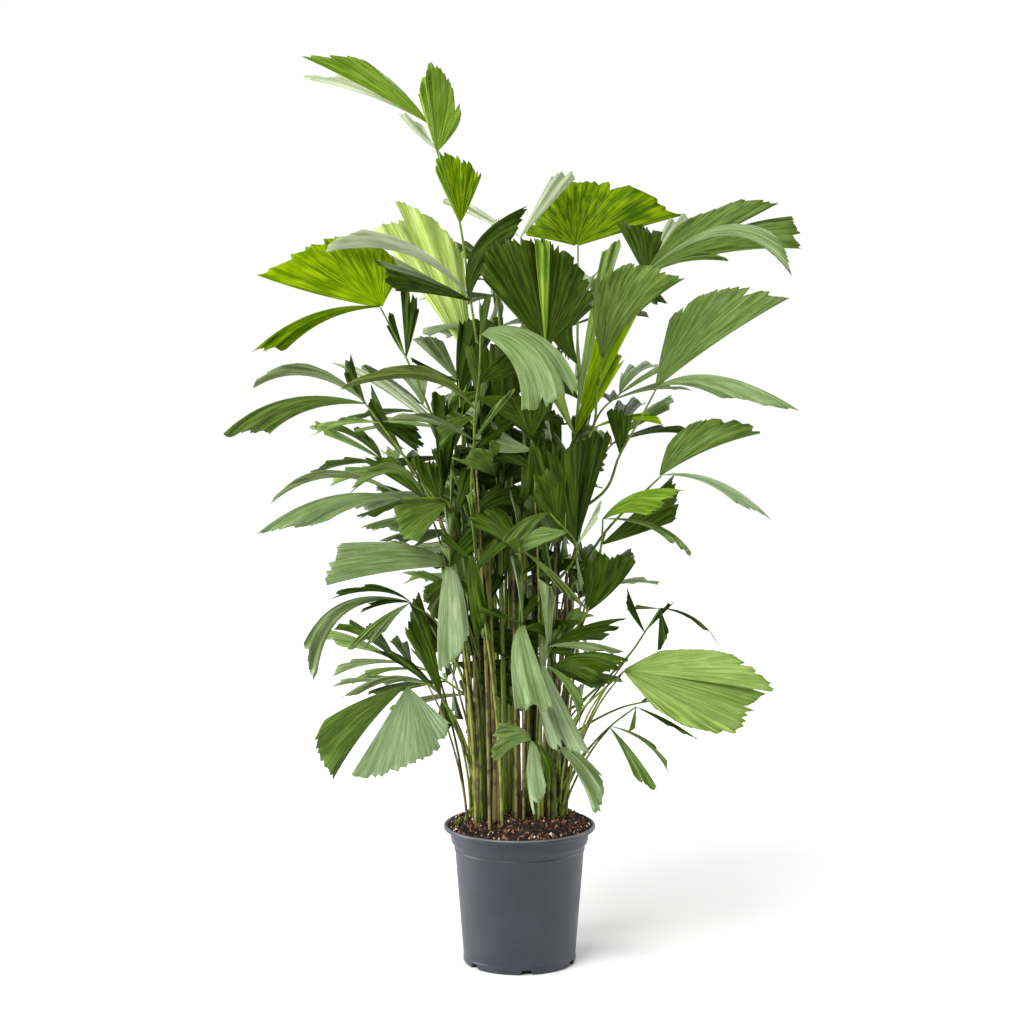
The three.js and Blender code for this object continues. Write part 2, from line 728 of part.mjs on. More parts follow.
// Petioles are cut clear of the stems and of earlier petioles, and leaflets of all that stands before them.
const fronds = [
  ...Object.entries(FRONDS).map(([name, row]) => ({ name, ...frontFrond(row) })),
  ...FAR_FRONDS.map((row, k) => ({ name: `far_${String(k + 1).padStart(2, '0')}`, ...farFrond(row) })),
];
const clearOfPetioles = fronds.map((frond) => petiole(frond, CLEARANCE));
const taken = [...clearOfStems];
fronds.forEach((frond, k) => {
  const own = frond.blades.reduce((solid, blade) => solid.add(blade.solid()), petiole(frond));
  const later = clearOfPetioles.slice(k + 1);
  const clear = [...taken, ...later].reduce((solid, other) => solid.subtract(other), own);
  group.add(meshOf(`frond_${frond.name}`, largestBody(clear), leafMaterial.clone()));
  taken.push(frond.blades.reduce((solid, blade) => solid.add(blade.solid(CLEARANCE)), clearOfPetioles[k]));
});

export default group;
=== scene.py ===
"""A clustering fishtail palm in a grower's pot, dressed for its render.

The leaflets, leaf stalks and canes grow by the rule of the part's own source, written again here
and carried to finer teeth, pleats and ribs. The rows are in millimetres and the meshes in metres.
"""

import logging
import math
from collections.abc import Sequence
from dataclasses import dataclass, field
from enum import Enum

import bpy
import numpy as np
from mathutils import Matrix, Vector, noise


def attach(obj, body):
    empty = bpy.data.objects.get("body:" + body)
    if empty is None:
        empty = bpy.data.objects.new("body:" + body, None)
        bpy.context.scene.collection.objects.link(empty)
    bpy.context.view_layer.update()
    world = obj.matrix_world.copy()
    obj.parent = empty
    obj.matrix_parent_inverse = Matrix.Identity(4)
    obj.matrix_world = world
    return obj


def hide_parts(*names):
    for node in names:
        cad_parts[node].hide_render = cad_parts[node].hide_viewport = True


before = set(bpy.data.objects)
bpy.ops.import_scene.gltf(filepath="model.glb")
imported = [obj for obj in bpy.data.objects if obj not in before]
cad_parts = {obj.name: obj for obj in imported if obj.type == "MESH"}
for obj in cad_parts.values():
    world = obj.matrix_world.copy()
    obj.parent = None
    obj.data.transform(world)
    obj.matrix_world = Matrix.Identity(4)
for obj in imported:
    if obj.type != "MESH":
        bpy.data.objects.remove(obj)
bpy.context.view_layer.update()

MM = 0.001
FAN_UV = "fan"
RIBS_PER_PLEAT = 3
RIBS_APART = 60
RIB_BANDS = 150
VEIN_SHIFT = 900
PLEATS = (2, 14)
BLADE_ROWS = (7, 14)

# Streaks run with a leaf's veins, broad ones a rib and a half wide, veins half a rib and over 100 mm long.
# Each is how often it changes in a rib and in a millimetre of vein, and what sets it apart.
LEAF_STREAKS = (0.65, 0.02, 0.0)
DARK_VEINS = (1.9, 0.006, 31.0)
# The light veins carry a painted highlight: glints that lift the colour towards a whitened light colour
GLINT_VEINS = (1.6, 0.005, 77.0)
VEIN_EDGE = (0.52, 0.64)
DARK_VEIN_LIFT = 0.15
# The white that the painted glints on the veins lean towards
LEAF_GLINT_WHITE = "#f0f6dc"
LEAF_WAX_IOR = 1.42
DRY_SKIN_GLOSS = 0.2

LOG = logging.getLogger("fishtail_palm")

# The crown's front elevation is measured from this point, on the upright plane through the pot's axis.
VIEWPOINT = np.array((-12.0, -4500.0, 1300.0))

SOIL_TOP = 224.0
STEM_BEND = 0.35
FOOT_SWELL = 1.25
PETIOLE_FOOT_RADIUS = 2.6
PETIOLE_TIP_RADIUS = 1.3
SHEATH_RADIUS = 2.7
COMPANION_RADIUS = 2.3
STALKS_SUNK = 5.0
SHEATH_TURN = 0.9
COMPANION_AWAY = 11.0
COMPANION_FORWARD = 14.0
COMPANION_JOIN = 0.55
MID_CREST = 0.5
LEAF_ROOT = 3.0
LEAF_CUP = 0.07
LEAF_LEAN = 0.5
NARROW_FALLOFF = 1.25
FALLOFF_PER_DEGREE = 0.005
FULL_LEAF = 0.55
NARROW_LEAF = 0.1

# Stems: foot across and depth, top across, depth and height, foot and top radius
STEMS = (
    (-68, -5, -85, 10, 560, 5.5, 3.5),
    (-58, -34, -68, -30, 640, 5.5, 3.5),
    (-36, -46, -50, -40, 740, 7, 4.5),
    (-48, 16, -60, 40, 700, 6, 4),
    (-22, -20, -30, -25, 790, 5, 3.2),
    (-4, -42, -8, -35, 700, 8, 5),
    (-14, 18, -15, 35, 840, 7, 4.5),
    (10, -14, 5, -10, 800, 6, 4),
    (16, 34, 25, 60, 760, 6, 4),
    (27, -40, 35, -50, 620, 5.5, 3.5),
    (46, -24, 55, -30, 680, 6, 4),
    (40, 14, 60, 25, 780, 6.5, 4),
    (62, 0, 80, 5, 640, 5, 3.3),
    (-28, 48, -40, 85, 640, 5, 3.3),
    (50, 44, 75, 80, 620, 5, 3.3),
)

# Fronds that show from the front: their stem, the height that they leave it at, and the points that
# they run through, each as across, depth and up. A leaflet is its point, its tip's across, depth and
# up, spread, short side, arch, crest and colour.
FRONT_FRONDS = {
    "tall_left": (
        7,
        800,
        ((-55, 50, 930), (-76, 60, 1050), (-93, 60, 1172), (-108, 58, 1221), (-128, 55, 1282), (-141, 55, 1322)),
        (
            (6, -337, 0, 1424, -24, 0.36, -4, 0.5, "B"),
            (6, -337, 130, 1390, -12, 0.5, -10, 0.5, "P"),
            (5, -139, 10, 1421, -46, 0.34, 0, 0.5, "B"),
            (5, -136, 12, 1419, 14, 0.66, 0, 0.5, "B"),
            (3, -126, 40, 1284, -40, 0.72, 0, 0.5, "E"),
            (3, -126, 40, 1284, 9, 0.73, 0, 0.5, "B"),
            (5, -188, 150, 1340, -14, 0.5, 4, 0.5, "P"),
            (2, 16, -40, 1200, -24, 0.6, 40, 0.4, "D"),
            (2, -308, -60, 1126, -8, 0.75, -38, 0.5, "P"),
            (2, -231, -120, 1116, 12, 0.8, -8, 0.5, "D"),
            (2, -208, 90, 1127, 12, 0.6, 0, 0.5, "G"),
        ),
    ),
    "lime_left": (
        4, 640, ((-120, 0, 830), (-177, -20, 963), (-216, -20, 1040),),
        (
            (3, -408, -90, 1091, -115, 0.34, 5, 0.5, "L"),
            (2, -186, 45, 1083, -18, 0.7, 0, 0.5, "D"),
            (2, -200, 10, 1040, 16, 0.7, 0, 0.5, "D"),
            (3, -416, -140, 966, 9, 0.85, -26, 0.5, "E"),
        ),
    ),
    "arching_left": (
        2, 560, ((-140, -40, 744), (-178, -55, 805), (-217, -60, 859), (-239, -60, 889),),
        (
            (4, -423, -100, 909, -14, 0.35, -34, 0.6, "G"),
            (4, -467, -170, 837, 13, 0.75, -35, 0.55, "F"),
            (3, -328, 0, 840, -9, 0.55, -8, 0.5, "M"),
            (3, -155, 30, 810, 26, 0.6, 0, 0.5, "D"),
            (4, -262, 60, 966, 14, 0.6, 0, 0.5, "D"),
            (2, -230, 35, 920, 16, 0.6, 0, 0.5, "D"),
        ),
    ),
    "pale_front": (
        3, 620, ((-75, -85, 739), (-71, -100, 831), (-70, -110, 877), (-63, -120, 932), (-61, -125, 998),),
        (
            (3, -294, -190, 907, -10, 0.5, -38, 0.35, "O"),
            (5, 2, -270, 875, 30, 0.95, 22, 0.5, "s"),
            (4, -20, -80, 980, -14, 0.6, 0, 0.5, "D"),
            (2, -211, -220, 864, -8, 0.5, -12, 0.5, "G"),
            (2, 0, -160, 920, 8, 0.5, 0, 0.5, "M"),
        ),
    ),
    "dark_upright": (
        5, 700, ((-36, 0, 775),),
        (
            (1, -88, 20, 985, -26, 0.95, 0, 0.5, "D"),
            (1, -108, -250, 804, -22, 0.6, 0, 0.5, "F"),
        ),
    ),
    "dark_fan": (
        11, 600, ((27, -90, 747), (18, -110, 834),),
        (
            (2, -23, -140, 904, -25, 0.75, 0, 0.5, "D"),
            (2, 66, -140, 915, 25, 0.75, 0, 0.5, "D"),
            (2, -2, -90, 738, 30, 0.85, 0, 0.5, "D"),
        ),
    ),
    "middle_left": (
        1, 520, ((-112, -70, 735), (-151, -95, 742), (-182, -110, 741),),
        (
            (2, -250, -60, 804, -26, 0.6, 0, 0.5, "D"),
            (2, -273, -170, 744, -12, 0.6, -38, 0.4, "M"),
            (3, -398, -150, 725, -8, 0.4, -40, 0.55, "G"),
            (3, -412, -220, 686, 15, 0.6, -30, 0.5, "S"),
            (3, -260, -70, 712, 12, 0.6, 0, 0.5, "D"),
            (1, -164, -180, 663, -52, 0.66, 0, 0.5, "F"),
        ),
    ),
    "glossy_left": (
        2, 500, ((-100, -80, 600), (-116, -105, 634),),
        (
            (2, -309, -220, 602, -21, 0.8, -6, 0.5, "s"),
            (2, -221, -60, 673, -10, 0.7, 0, 0.5, "G"),
            (2, -130, -250, 457, 22, 0.66, -6, 0.4, "n"),
            (1, -187, -60, 625, -14, 0.6, 0, 0.5, "M"),
        ),
    ),
    "drooping_left": (
        1, 430, ((-130, -45, 545), (-172, -70, 576),),
        (
            (2, -303, -110, 583, -8, 0.5, -16, 0.4, "D"),
            (2, -321, -230, 442, -9, 0.8, -54, 0.5, "G"),
            (2, -135, -20, 485, 24, 0.7, 0, 0.5, "D"),
            (2, -256, -140, 559, -8, 0.6, -6, 0.5, "D"),
            (2, -247, -60, 501, 10, 0.6, -8, 0.5, "G"),
            (2, -274, 20, 493, 8, 0.5, -12, 0.5, "F"),
        ),
    ),
    "low_left": (
        1, 300, ((-123, -70, 425), (-142, -90, 446), (-179, -110, 442),),
        (
            (2, -288, -210, 416, 8, 0.5, -26, 0.5, "G"),
            (2, -305, -20, 442, -6, 0.4, -8, 0.5, "G"),
            (1, -231, 0, 501, -10, 0.6, -6, 0.5, "D"),
            (1, -159, -50, 596, 20, 0.7, -6, 0.5, "D"),
            (3, -296, -200, 292, -26, 0.85, -8, 0.5, "F"),
            (3, -270, -260, 296, 72, 0.45, 0, 0.5, "N"),
            (1, -135, -20, 366, 24, 0.7, 0, 0.5, "D"),
        ),
    ),
    "inner_left": (
        3, 520, ((-78, -150, 650),),
        (
            (1, -66, -150, 517, 18, 0.75, -8, 0.5, "d"),
            (1, -126, -120, 700, 20, 0.7, 0, 0.5, "D"),
        ),
    ),
    "hanging_front": (
        6, 500, ((8, -130, 541),),
        (
            (1, 58, -230, 402, -23, 0.9, 0, 0.5, "s"),
            (1, -72, -200, 565, -9, 0.7, 0, 0.5, "D"),
        ),
    ),
    "hanging_right": (
        10, 420, ((40, -105, 477),),
        (
            (1, 113, -200, 333, -22, 0.85, 0, 0.5, "n"),
            (1, 93, -90, 389, 14, 0.7, 10, 0.5, "M"),
        ),
    ),
    "low_front": (
        8, 260, ((12, -75, 310), (18, -100, 355),),
        (
            (2, -44, -200, 314, -36, 0.6, -8, 0.5, "m"),
            (2, 23, -190, 233, 18, 0.7, -8, 0.5, "n"),
            (2, 34, -150, 276, 20, 0.7, 12, 0.5, "D"),
        ),
    ),
    "low_right": (
        13, 290, ((63, -70, 341),),
        (
            (1, 119, -150, 228, 24, 0.62, 8, 0.5, "s"),
        ),
    ),
    "broad_right": (
        13, 340, ((95, -100, 402), (165, -150, 468),),
        (
            (2, 411, -230, 436, 37, 0.26, 0, 0.5, "Y"),
            (2, 349, -240, 367, 26, 1.08, 0, 0.5, "Y"),
            (2, 349, -240, 367, -20, 0.4, 0, 0.5, "Y"),
        ),
    ),
    "slender_right": (
        15, 380, ((110, 0, 430), (172, 10, 493), (197, 10, 530), (220, 10, 567),),
        (
            (4, 314, -60, 512, -7, 0.5, 16, 0.5, "D"),
            (3, 250, 60, 583, 10, 0.6, 0, 0.5, "D"),
            (4, 217, -90, 500, 14, 0.6, 0, 0.5, "D"),
            (4, 158, 50, 566, -8, 0.6, 0, 0.5, "M"),
            (3, 168, 50, 600, 16, 0.6, 0, 0.5, "D"),
        ),
    ),
    "glossy_right": (
        11, 420, ((48, -75, 470), (43, -90, 506),),
        (
            (2, 169, -30, 552, -18, 0.7, 12, 0.5, "D"),
            (2, 175, -130, 493, -12, 0.6, 14, 0.5, "G"),
            (1, 180, -170, 482, -26, 0.7, 22, 0.45, "D"),
            (1, 169, -10, 455, -18, 0.6, 6, 0.5, "D"),
            (2, 31, -170, 616, -13, 0.7, 0, 0.5, "G"),
        ),
    ),
    "thin_right": (
        13, 250, ((100, -10, 330), (142, -20, 378), (183, -25, 410),),
        (
            (2, 223, -110, 270, -12, 0.7, 6, 0.5, "M"),
            (2, 238, -30, 303, 6, 0.5, 14, 0.5, "M"),
            (3, 169, -90, 363, 12, 0.6, 0, 0.5, "M"),
            (3, 288, 20, 354, -7, 0.5, 6, 0.5, "D"),
        ),
    ),
    "broad_upper_right": (
        12, 700, ((134, 10, 755), (156, 5, 810), (187, 0, 865), (213, 0, 915),),
        (
            (4, 420, -80, 1056, 41, 0.43, 6, 0.5, "M"),
            (4, 438, -160, 876, -12, 0.6, 34, 0.35, "S"),
            (2, 132, 30, 884, -35, 0.85, 0, 0.5, "D"),
        ),
    ),
    "tail_right": (
        13, 600, ((135, -20, 690), (195, -30, 752), (221, -35, 777),),
        (
            (3, 381, -20, 845, 46, 0.3, 9, 0.5, "F"),
            (3, 394, -140, 708, -7, 0.75, 26, 0.45, "N"),
        ),
    ),
    "folded_right": (
        11, 500, ((106, -60, 562), (128, -75, 670), (130, -80, 708),),
        (
            (1, 186, -120, 650, 46, 0.85, -8, 0.5, "D"),
            (2, 242, -40, 780, -26, 0.78, 0, 0.5, "D"),
            (3, 257, -170, 755, -22, 0.7, 22, 0.5, "B"),
            (3, 273, -120, 645, -7, 0.7, 26, 0.6, "M"),
        ),
    ),
    "dark_right": (
        12, 600, ((89, -110, 668), (47, -150, 719),),
        (
            (1, 94, -140, 839, 42, 0.62, 0, 0.5, "D"),
            (1, 145, -60, 850, 16, 0.9, 0, 0.5, "D"),
            (1, 128, -190, 744, -8, 0.6, 0, 0.5, "P"),
            (2, -31, -240, 672, 20, 0.7, -12, 0.5, "F"),
            (1, 47, -50, 853, 8, 0.6, -25, 0.5, "O"),
        ),
    ),
    "slanting_front": (
        8, 600, ((-1, -170, 664),),
        (
            (1, 109, -250, 562, -7, 0.7, 8, 0.5, "O"),
        ),
    ),
    "upright_back": (
        8, 760, ((8, 30, 930), (2, 60, 1060), (2, 80, 1148),),
        (
            (3, 94, 100, 1250, 16, 0.8, 0, 0.5, "P"),
            (3, -124, 200, 1205, -8, 0.5, 0, 0.5, "P"),
        ),
    ),
    "sunlit_right": (
        9, 720, ((86, 80, 842), (90, 110, 980), (90, 120, 1135),),
        (
            (3, 258, 130, 1187, 148, 0.47, 0, 0.5, "E"),
            (1, 161, 140, 1150, 5, 0.9, 6, 0.5, "Y"),
            (1, 190, 70, 1045, 10, 0.7, 0, 0.5, "L"),
            (1, 118, 95, 1005, -22, 0.85, 0, 0.5, "L"),
            (1, 52, 95, 965, 16, 0.8, 0, 0.5, "H"),
        ),
    ),
    "dark_crown": (
        6, 660, ((20, -70, 800), (36, -90, 900), (39, -95, 982),),
        (
            (3, -46, -120, 1143, -30, 0.9, 0, 0.5, "D"),
            (3, -46, -120, 1143, 15, 0.82, 0, 0.5, "D"),
            (3, 48, -110, 1146, -48, 0.6, 0, 0.5, "D"),
            (3, 20, -140, 1150, -10, 0.95, 0, 0.5, "B"),
        ),
    ),
    "upper_right": (
        9, 740, ((113, 20, 850), (120, 15, 905), (130, 10, 960), (160, 5, 1025), (194, 0, 1090),),
        (
            (5, 437, -60, 1130, 16, 0.96, 14, 0.5, "F"),
            (5, 400, -30, 1203, 30, 0.35, 0, 0.5, "F"),
            (5, 421, -160, 1088, 7, 0.8, 60, 0.65, "S"),
            (5, 147, 60, 1172, -46, 0.8, 0, 0.5, "D"),
            (3, 259, -110, 1088, 46, 0.56, 12, 0.5, "F"),
            (5, 230, 30, 1045, -30, 0.7, 0, 0.5, "D"),
            (5, 268, 80, 1182, 15, 0.8, 0, 0.5, "P"),
            (1, 228, 60, 859, 8, 0.7, 10, 0.5, "L"),
            (5, 333, -80, 1108, 8, 0.6, 12, 0.5, "M"),
        ),
    ),
    "lime_back": (
        14, 600, ((-70, 130, 800), (-77, 160, 960),),
        (
            (2, -194, 200, 1207, -21, 0.62, 0, 0.5, "H"),
            (2, -226, 210, 1163, -11, 0.95, 0, 0.5, "H"),
        ),
    ),
    "grey_left": (
        4, 680, ((-85, 60, 800), (-95, 60, 925),),
        (
            (2, -168, 90, 993, -24, 0.75, 0, 0.5, "G"),
            (2, -176, 30, 966, 12, 0.6, 0, 0.5, "D"),
            (1, -299, 100, 957, -7, 0.5, -16, 0.5, "P"),
        ),
    ),
    "short_left": (
        2, 620, ((-123, 0, 744),),
        (
            (1, -138, -20, 914, -18, 0.85, 0, 0.5, "D"),
        ),
    ),
}

# Fronds on the far side: stem, height, heading, reach, climb, leaflet length and leaflet pairs
FAR_FRONDS = (
    (9, 700, 72, 270, 330, 180, 2),
    (14, 560, 118, 260, 300, 190, 2),
    (15, 560, 66, 230, 250, 180, 1),
    (7, 760, 100, 190, 325, 170, 1),
    (4, 600, 134, 240, 180, 170, 2),
    (12, 640, 56, 190, 250, 160, 1),
    (14, 460, 98, 250, 170, 190, 1),
    (15, 420, 76, 240, 130, 180, 1),
    (14, 360, 142, 220, 90, 160, 2),
    (15, 330, 20, 180, 70, 150, 1),
    (9, 560, 84, 190, 160, 160, 1),
    (7, 520, 128, 190, 170, 160, 1),
)

# Fronds that more thin stalks rise beside, and how many
OUTER_STALKS = {
    "frond_low_left": 3,
    "frond_drooping_left": 3,
    "frond_glossy_left": 2,
    "frond_middle_left": 2,
    "frond_arching_left": 2,
    "frond_thin_right": 3,
    "frond_broad_right": 3,
    "frond_slender_right": 3,
    "frond_folded_right": 1,
    "frond_tail_right": 1,
    "frond_pale_front": 3,
    "frond_inner_left": 2,
    "frond_hanging_front": 2,
    "frond_glossy_right": 2,
    "frond_dark_fan": 2,
}

# Far fronds: the stretches of a stalk, and how the pairs of leaflets stand on it
FAR_STEPS = 3
FAR_PAIR_HEADING = 40.0
FAR_PAIR_TURN = 12.0
FAR_PAIR_SIZE = 0.85
FAR_PAIR_RISE = 0.1
FAR_TIP_HEADING = 6.0
FAR_TIP_RISE = 0.25
# A far leaflet's spread, short side, arch and crest
FAR_SHAPE = (24.0, 0.6, 11.0, 0.55)
# The far side's leaflets are mostly dark, which carries painted shade
FAR_TONES = "MDGDFDDM"

# Seeds: what is drawn by chance keeps to a range of its own, with SEEDS_APART for each frond
SEEDS_APART = 100
SHEATH_SEED = 300
COMPANION_SEED = 400
OUTER_SEED = 600
OUTER_SEEDS_APART = 17
CANE_SEED = 900
FAR_SEED = 4000
FAR_LEAFLET_SEED = 5000
FAR_LEAFLETS_APART = 40
SEEDLING_SEED = 7000
INNER_SEED = 9000
FAR_INNER_SEED = 12000
SIDE_SEED = 15000
FAR_SIDE_SEED = 18000

Row = tuple[float, ...]


def linear(code: str) -> tuple[float, float, float, float]:
    """Turns an sRGB hex value to linear colour.

    Args:
        code: The colour as "#rrggbb".

    Returns:
        Linear red, green and blue, and an alpha of 1.
    """
    parts = [int(code[i : i + 2], 16) / 255 for i in (1, 3, 5)]
    low = [part / 12.92 if part <= 0.04045 else ((part + 0.055) / 1.055) ** 2.4 for part in parts]
    return (low[0], low[1], low[2], 1.0)


def add_node(
    tree: bpy.types.NodeTree,
    kind: str,
    settings: dict[str, object] | None = None,
    inputs: dict[int | str, object] | None = None,
) -> bpy.types.Node:
    """Adds a node with its settings, values and links.

    Args:
        tree: The tree that takes the node.
        kind: The node's type name.
        settings: The node's own properties.
        inputs: Values or output sockets, by the input's name or number.

    Returns:
        The new node.
    """
    node = tree.nodes.new(kind)
    for name, value in (settings or {}).items():
        setattr(node, name, value)
    for key, value in (inputs or {}).items():
        if isinstance(value, bpy.types.NodeSocket):
            tree.links.new(value, node.inputs[key])
        else:
            node.inputs[key].default_value = value
    return node


def blended(
    tree: bpy.types.NodeTree, factor: object, first: object, second: object
) -> bpy.types.NodeSocket:
    """Mixes two colours.

    Args:
        tree: The tree that takes the node.
        factor: The share of the second colour, as a number or a socket.
        first: The colour at factor 0.
        second: The colour at factor 1.

    Returns:
        The mixed colour's socket.
    """
    mix = add_node(
        tree, "ShaderNodeMix", {"data_type": "RGBA", "clamp_factor": True}, {0: factor, 6: first, 7: second}
    )
    return mix.outputs[2]


def sum_of(tree: bpy.types.NodeTree, operation: str, first: object, second: object = 0.0) -> bpy.types.NodeSocket:
    """Works out one sum on numbers or sockets.

    Args:
        tree: The tree that takes the node.
        operation: The Math node's operation.
        first: The first number.
        second: The second number, where the operation has one.

    Returns:
        The result's socket.
    """
    return add_node(tree, "ShaderNodeMath", {"operation": operation}, {0: first, 1: second}).outputs[0]


def times(tree: bpy.types.NodeTree, first: object, second: object) -> bpy.types.NodeSocket:
    """Multiplies two numbers or sockets.

    Args:
        tree: The tree that takes the node.
        first: The first number.
        second: The second number.

    Returns:
        The product's socket.
    """
    return sum_of(tree, "MULTIPLY", first, second)


def ramped(tree: bpy.types.NodeTree, value: object, low: float, high: float) -> bpy.types.NodeSocket:
    """Stretches a value's range from low to high over 0 to 1.

    Args:
        tree: The tree that takes the node.
        value: The value's socket.
        low: The value that gives 0.
        high: The value that gives 1.

    Returns:
        The stretched value's socket.
    """
    ranged = add_node(tree, "ShaderNodeMapRange", {"interpolation_type": "SMOOTHSTEP"}, {0: value, 1: low, 2: high})
    return ranged.outputs[0]


def new_skin(name: str) -> tuple[bpy.types.Material, bpy.types.NodeTree, bpy.types.Node]:
    """Makes a plain material.

    Args:
        name: Its name.

    Returns:
        The material, its node tree and its shader.
    """
    material = bpy.data.materials.new(name)
    material.use_nodes = True
    return material, material.node_tree, material.node_tree.nodes["Principled BSDF"]


def place_of(tree: bpy.types.NodeTree) -> bpy.types.NodeSocket:
    """Gives each place on the piece, in metres.

    Args:
        tree: The tree that takes the node.

    Returns:
        The place's socket.
    """
    return add_node(tree, "ShaderNodeTexCoord").outputs["Object"]


def grained(
    tree: bpy.types.NodeTree, place: object, scale: float, detail: float, roughness: float = 0.5
) -> bpy.types.NodeSocket:
    """Draws noise.

    Args:
        tree: The tree that takes the node.
        place: The place's socket.
        scale: How often it changes in a metre, or in a unit of the place.
        detail: The number of its finer layers.
        roughness: How strong the finer layers are.

    Returns:
        The noise's socket.
    """
    inputs = {"Vector": place, "Scale": scale, "Detail": detail, "Roughness": roughness}
    return add_node(tree, "ShaderNodeTexNoise", inputs=inputs).outputs[0]


def stretched(tree: bpy.types.NodeTree, place: object, scale: Row) -> bpy.types.NodeSocket:
    """Scales places by another amount along each axis.

    Args:
        tree: The tree that takes the node.
        place: The place's socket.
        scale: The amount along X, Y and Z.

    Returns:
        The scaled place's socket.
    """
    return add_node(tree, "ShaderNodeMapping", inputs={"Vector": place, "Scale": scale}).outputs[0]


def coloured(tree: bpy.types.NodeTree, shader: bpy.types.Node, mask: object, first: object, second: object) -> None:
    """Gives a shader a mix of two colours.

    Args:
        tree: The material's tree.
        shader: The shader.
        mask: The share of the second colour.
        first: The colour at mask 0.
        second: The colour at mask 1.
    """
    tree.links.new(blended(tree, mask, first, second), shader.inputs["Base Color"])


def roughened(tree: bpy.types.NodeTree, shader: bpy.types.Node, mask: object, ends: tuple[float, float]) -> None:
    """Gives a shader a roughness that follows a mask.

    Args:
        tree: The material's tree.
        shader: The shader.
        mask: The mask's socket.
        ends: The roughness at mask 0 and at mask 1.
    """
    rough = add_node(tree, "ShaderNodeMapRange", inputs={0: mask, 3: ends[0], 4: ends[1]})
    tree.links.new(rough.outputs[0], shader.inputs["Roughness"])


def raised(tree: bpy.types.NodeTree, shader: bpy.types.Node, height: object, strength: float, depth: float) -> None:
    """Gives a shader fine relief.

    Args:
        tree: The material's tree.
        shader: The shader.
        height: The relief's socket.
        strength: How much of it shows.
        depth: Its depth in metres.
    """
    bump = add_node(tree, "ShaderNodeBump", inputs={"Height": height, "Strength": strength, "Distance": depth})
    tree.links.new(bump.outputs[0], shader.inputs["Normal"])


class Tone(Enum):
    """The leaf colours, by the letter that ends a leaflet's row. A small letter marks a full-bodied leaflet."""

    LIME = "L"
    BRIGHT = "B"
    MID = "M"
    # Sage and mint: green with a painted sheen
    SAGE = "S"
    SPRING = "Y"
    # Dark: dark green with painted shade
    DARK = "D"
    LEAF_GREEN = "F"
    DEEP_LIME = "E"
    PALE_LIME = "H"
    MINT = "N"
    GREY = "G"
    OLIVE = "O"
    PALE = "P"


@dataclass(frozen=True)
class LeafFinish:
    """Living palm leaf, grown: waxy ribbed blade whose fine veins fan out from its foot."""

    name: str
    light: str
    shade: str
    line: str
    line_share: float = 0.45
    # The strength of the painted shade on one side of each pleat
    pleat_shade_share: float = 0.35
    # The strength of the painted glints on the light veins
    glint_share: float = 0.5
    shift: float = 0.35
    roughness: float = 0.46
    gloss: float = 0.3
    # How far the painted glints' colour leans to white
    glint_whitening: float = 0.12

    @staticmethod
    def grain(
        tree: bpy.types.NodeTree, parts: bpy.types.Node, across: float, along: float, shift: float
    ) -> bpy.types.NodeSocket:
        """Draws noise that runs along the veins.

        Args:
            tree: The material's tree.
            parts: The node that gives the fan coordinate, in ribs across and millimetres along.
            across: How often it changes in a rib.
            along: How often it changes in a millimetre of vein.
            shift: What sets it apart from the other grains.

        Returns:
            The noise's socket.
        """
        aside = times(tree, parts.outputs[0], across)
        forth = times(tree, parts.outputs[1], along)
        place = add_node(tree, "ShaderNodeCombineXYZ", inputs={0: aside, 1: forth, 2: shift})
        return grained(tree, place.outputs[0], 1.0, 3.0)

    def material(self) -> bpy.types.Material:
        """Builds the leaf's material: long streaks, rib lines and pleats along the fan, with painted shade on one side
        of each pleat and painted glints on the light veins.

        Returns:
            The material.
        """
        material, tree, shader = new_skin(self.name)
        fan = add_node(tree, "ShaderNodeUVMap", {"uv_map": FAN_UV}).outputs[0]
        parts = add_node(tree, "ShaderNodeSeparateXYZ", inputs={0: fan})
        ribs = sum_of(tree, "SINE", times(tree, parts.outputs[0], math.tau))
        pleat_turn = times(tree, parts.outputs[0], math.tau / RIBS_PER_PLEAT)
        pleats = sum_of(tree, "SINE", pleat_turn)
        streak = self.grain(tree, parts, *LEAF_STREAKS)
        dark_veins = self.grain(tree, parts, *DARK_VEINS)
        glint_veins = self.grain(tree, parts, *GLINT_VEINS)
        colour = blended(tree, ramped(tree, streak, 0.36, 0.66), linear(self.shade), linear(self.light))
        # Painted shade: one side of each pleat is darkened towards the shade colour, as light falls across the folds
        painted_pleat_shade = times(tree, ramped(tree, pleats, -0.2, 1.0), self.pleat_shade_share)
        colour = blended(tree, painted_pleat_shade, colour, linear(self.shade))
        # Painted highlight: lighter veins lift the colour towards the light colour mixed with white, as glints of sheen
        painted_glint_mask = times(tree, ramped(tree, glint_veins, *VEIN_EDGE), self.glint_share)
        colour = blended(tree, painted_glint_mask, colour, blended(tree, self.glint_whitening, linear(self.light), linear(LEAF_GLINT_WHITE)))
        line_mask = times(tree, ramped(tree, dark_veins, *VEIN_EDGE), self.line_share + DARK_VEIN_LIFT)
        colour = blended(tree, line_mask, colour, linear(self.line))
        rib_mask = times(tree, ramped(tree, ribs, 0.35, 1.0), 0.5 * self.line_share)
        colour = blended(tree, rib_mask, colour, linear(self.line))
        # No two leaflets are equally dark: each has a band of RIBS_APART ribs to itself
        own = sum_of(tree, "FLOOR", sum_of(tree, "DIVIDE", parts.outputs[0], float(RIBS_APART)))
        chance = add_node(tree, "ShaderNodeTexWhiteNoise", {"noise_dimensions": "1D"}, {"W": own})
        colour = blended(tree, times(tree, chance.outputs[0], self.shift), colour, linear(self.line))
        tree.links.new(colour, shader.inputs["Base Color"])
        height = sum_of(tree, "MULTIPLY_ADD", ribs, 0.35)
        tree.links.new(pleats, height.node.inputs[2])
        raised(tree, shader, height, 0.35, 0.8 * MM)
        shader.inputs["Roughness"].default_value = self.roughness
        shader.inputs["IOR"].default_value = LEAF_WAX_IOR
        shader.inputs["Specular IOR Level"].default_value = self.gloss
        return material


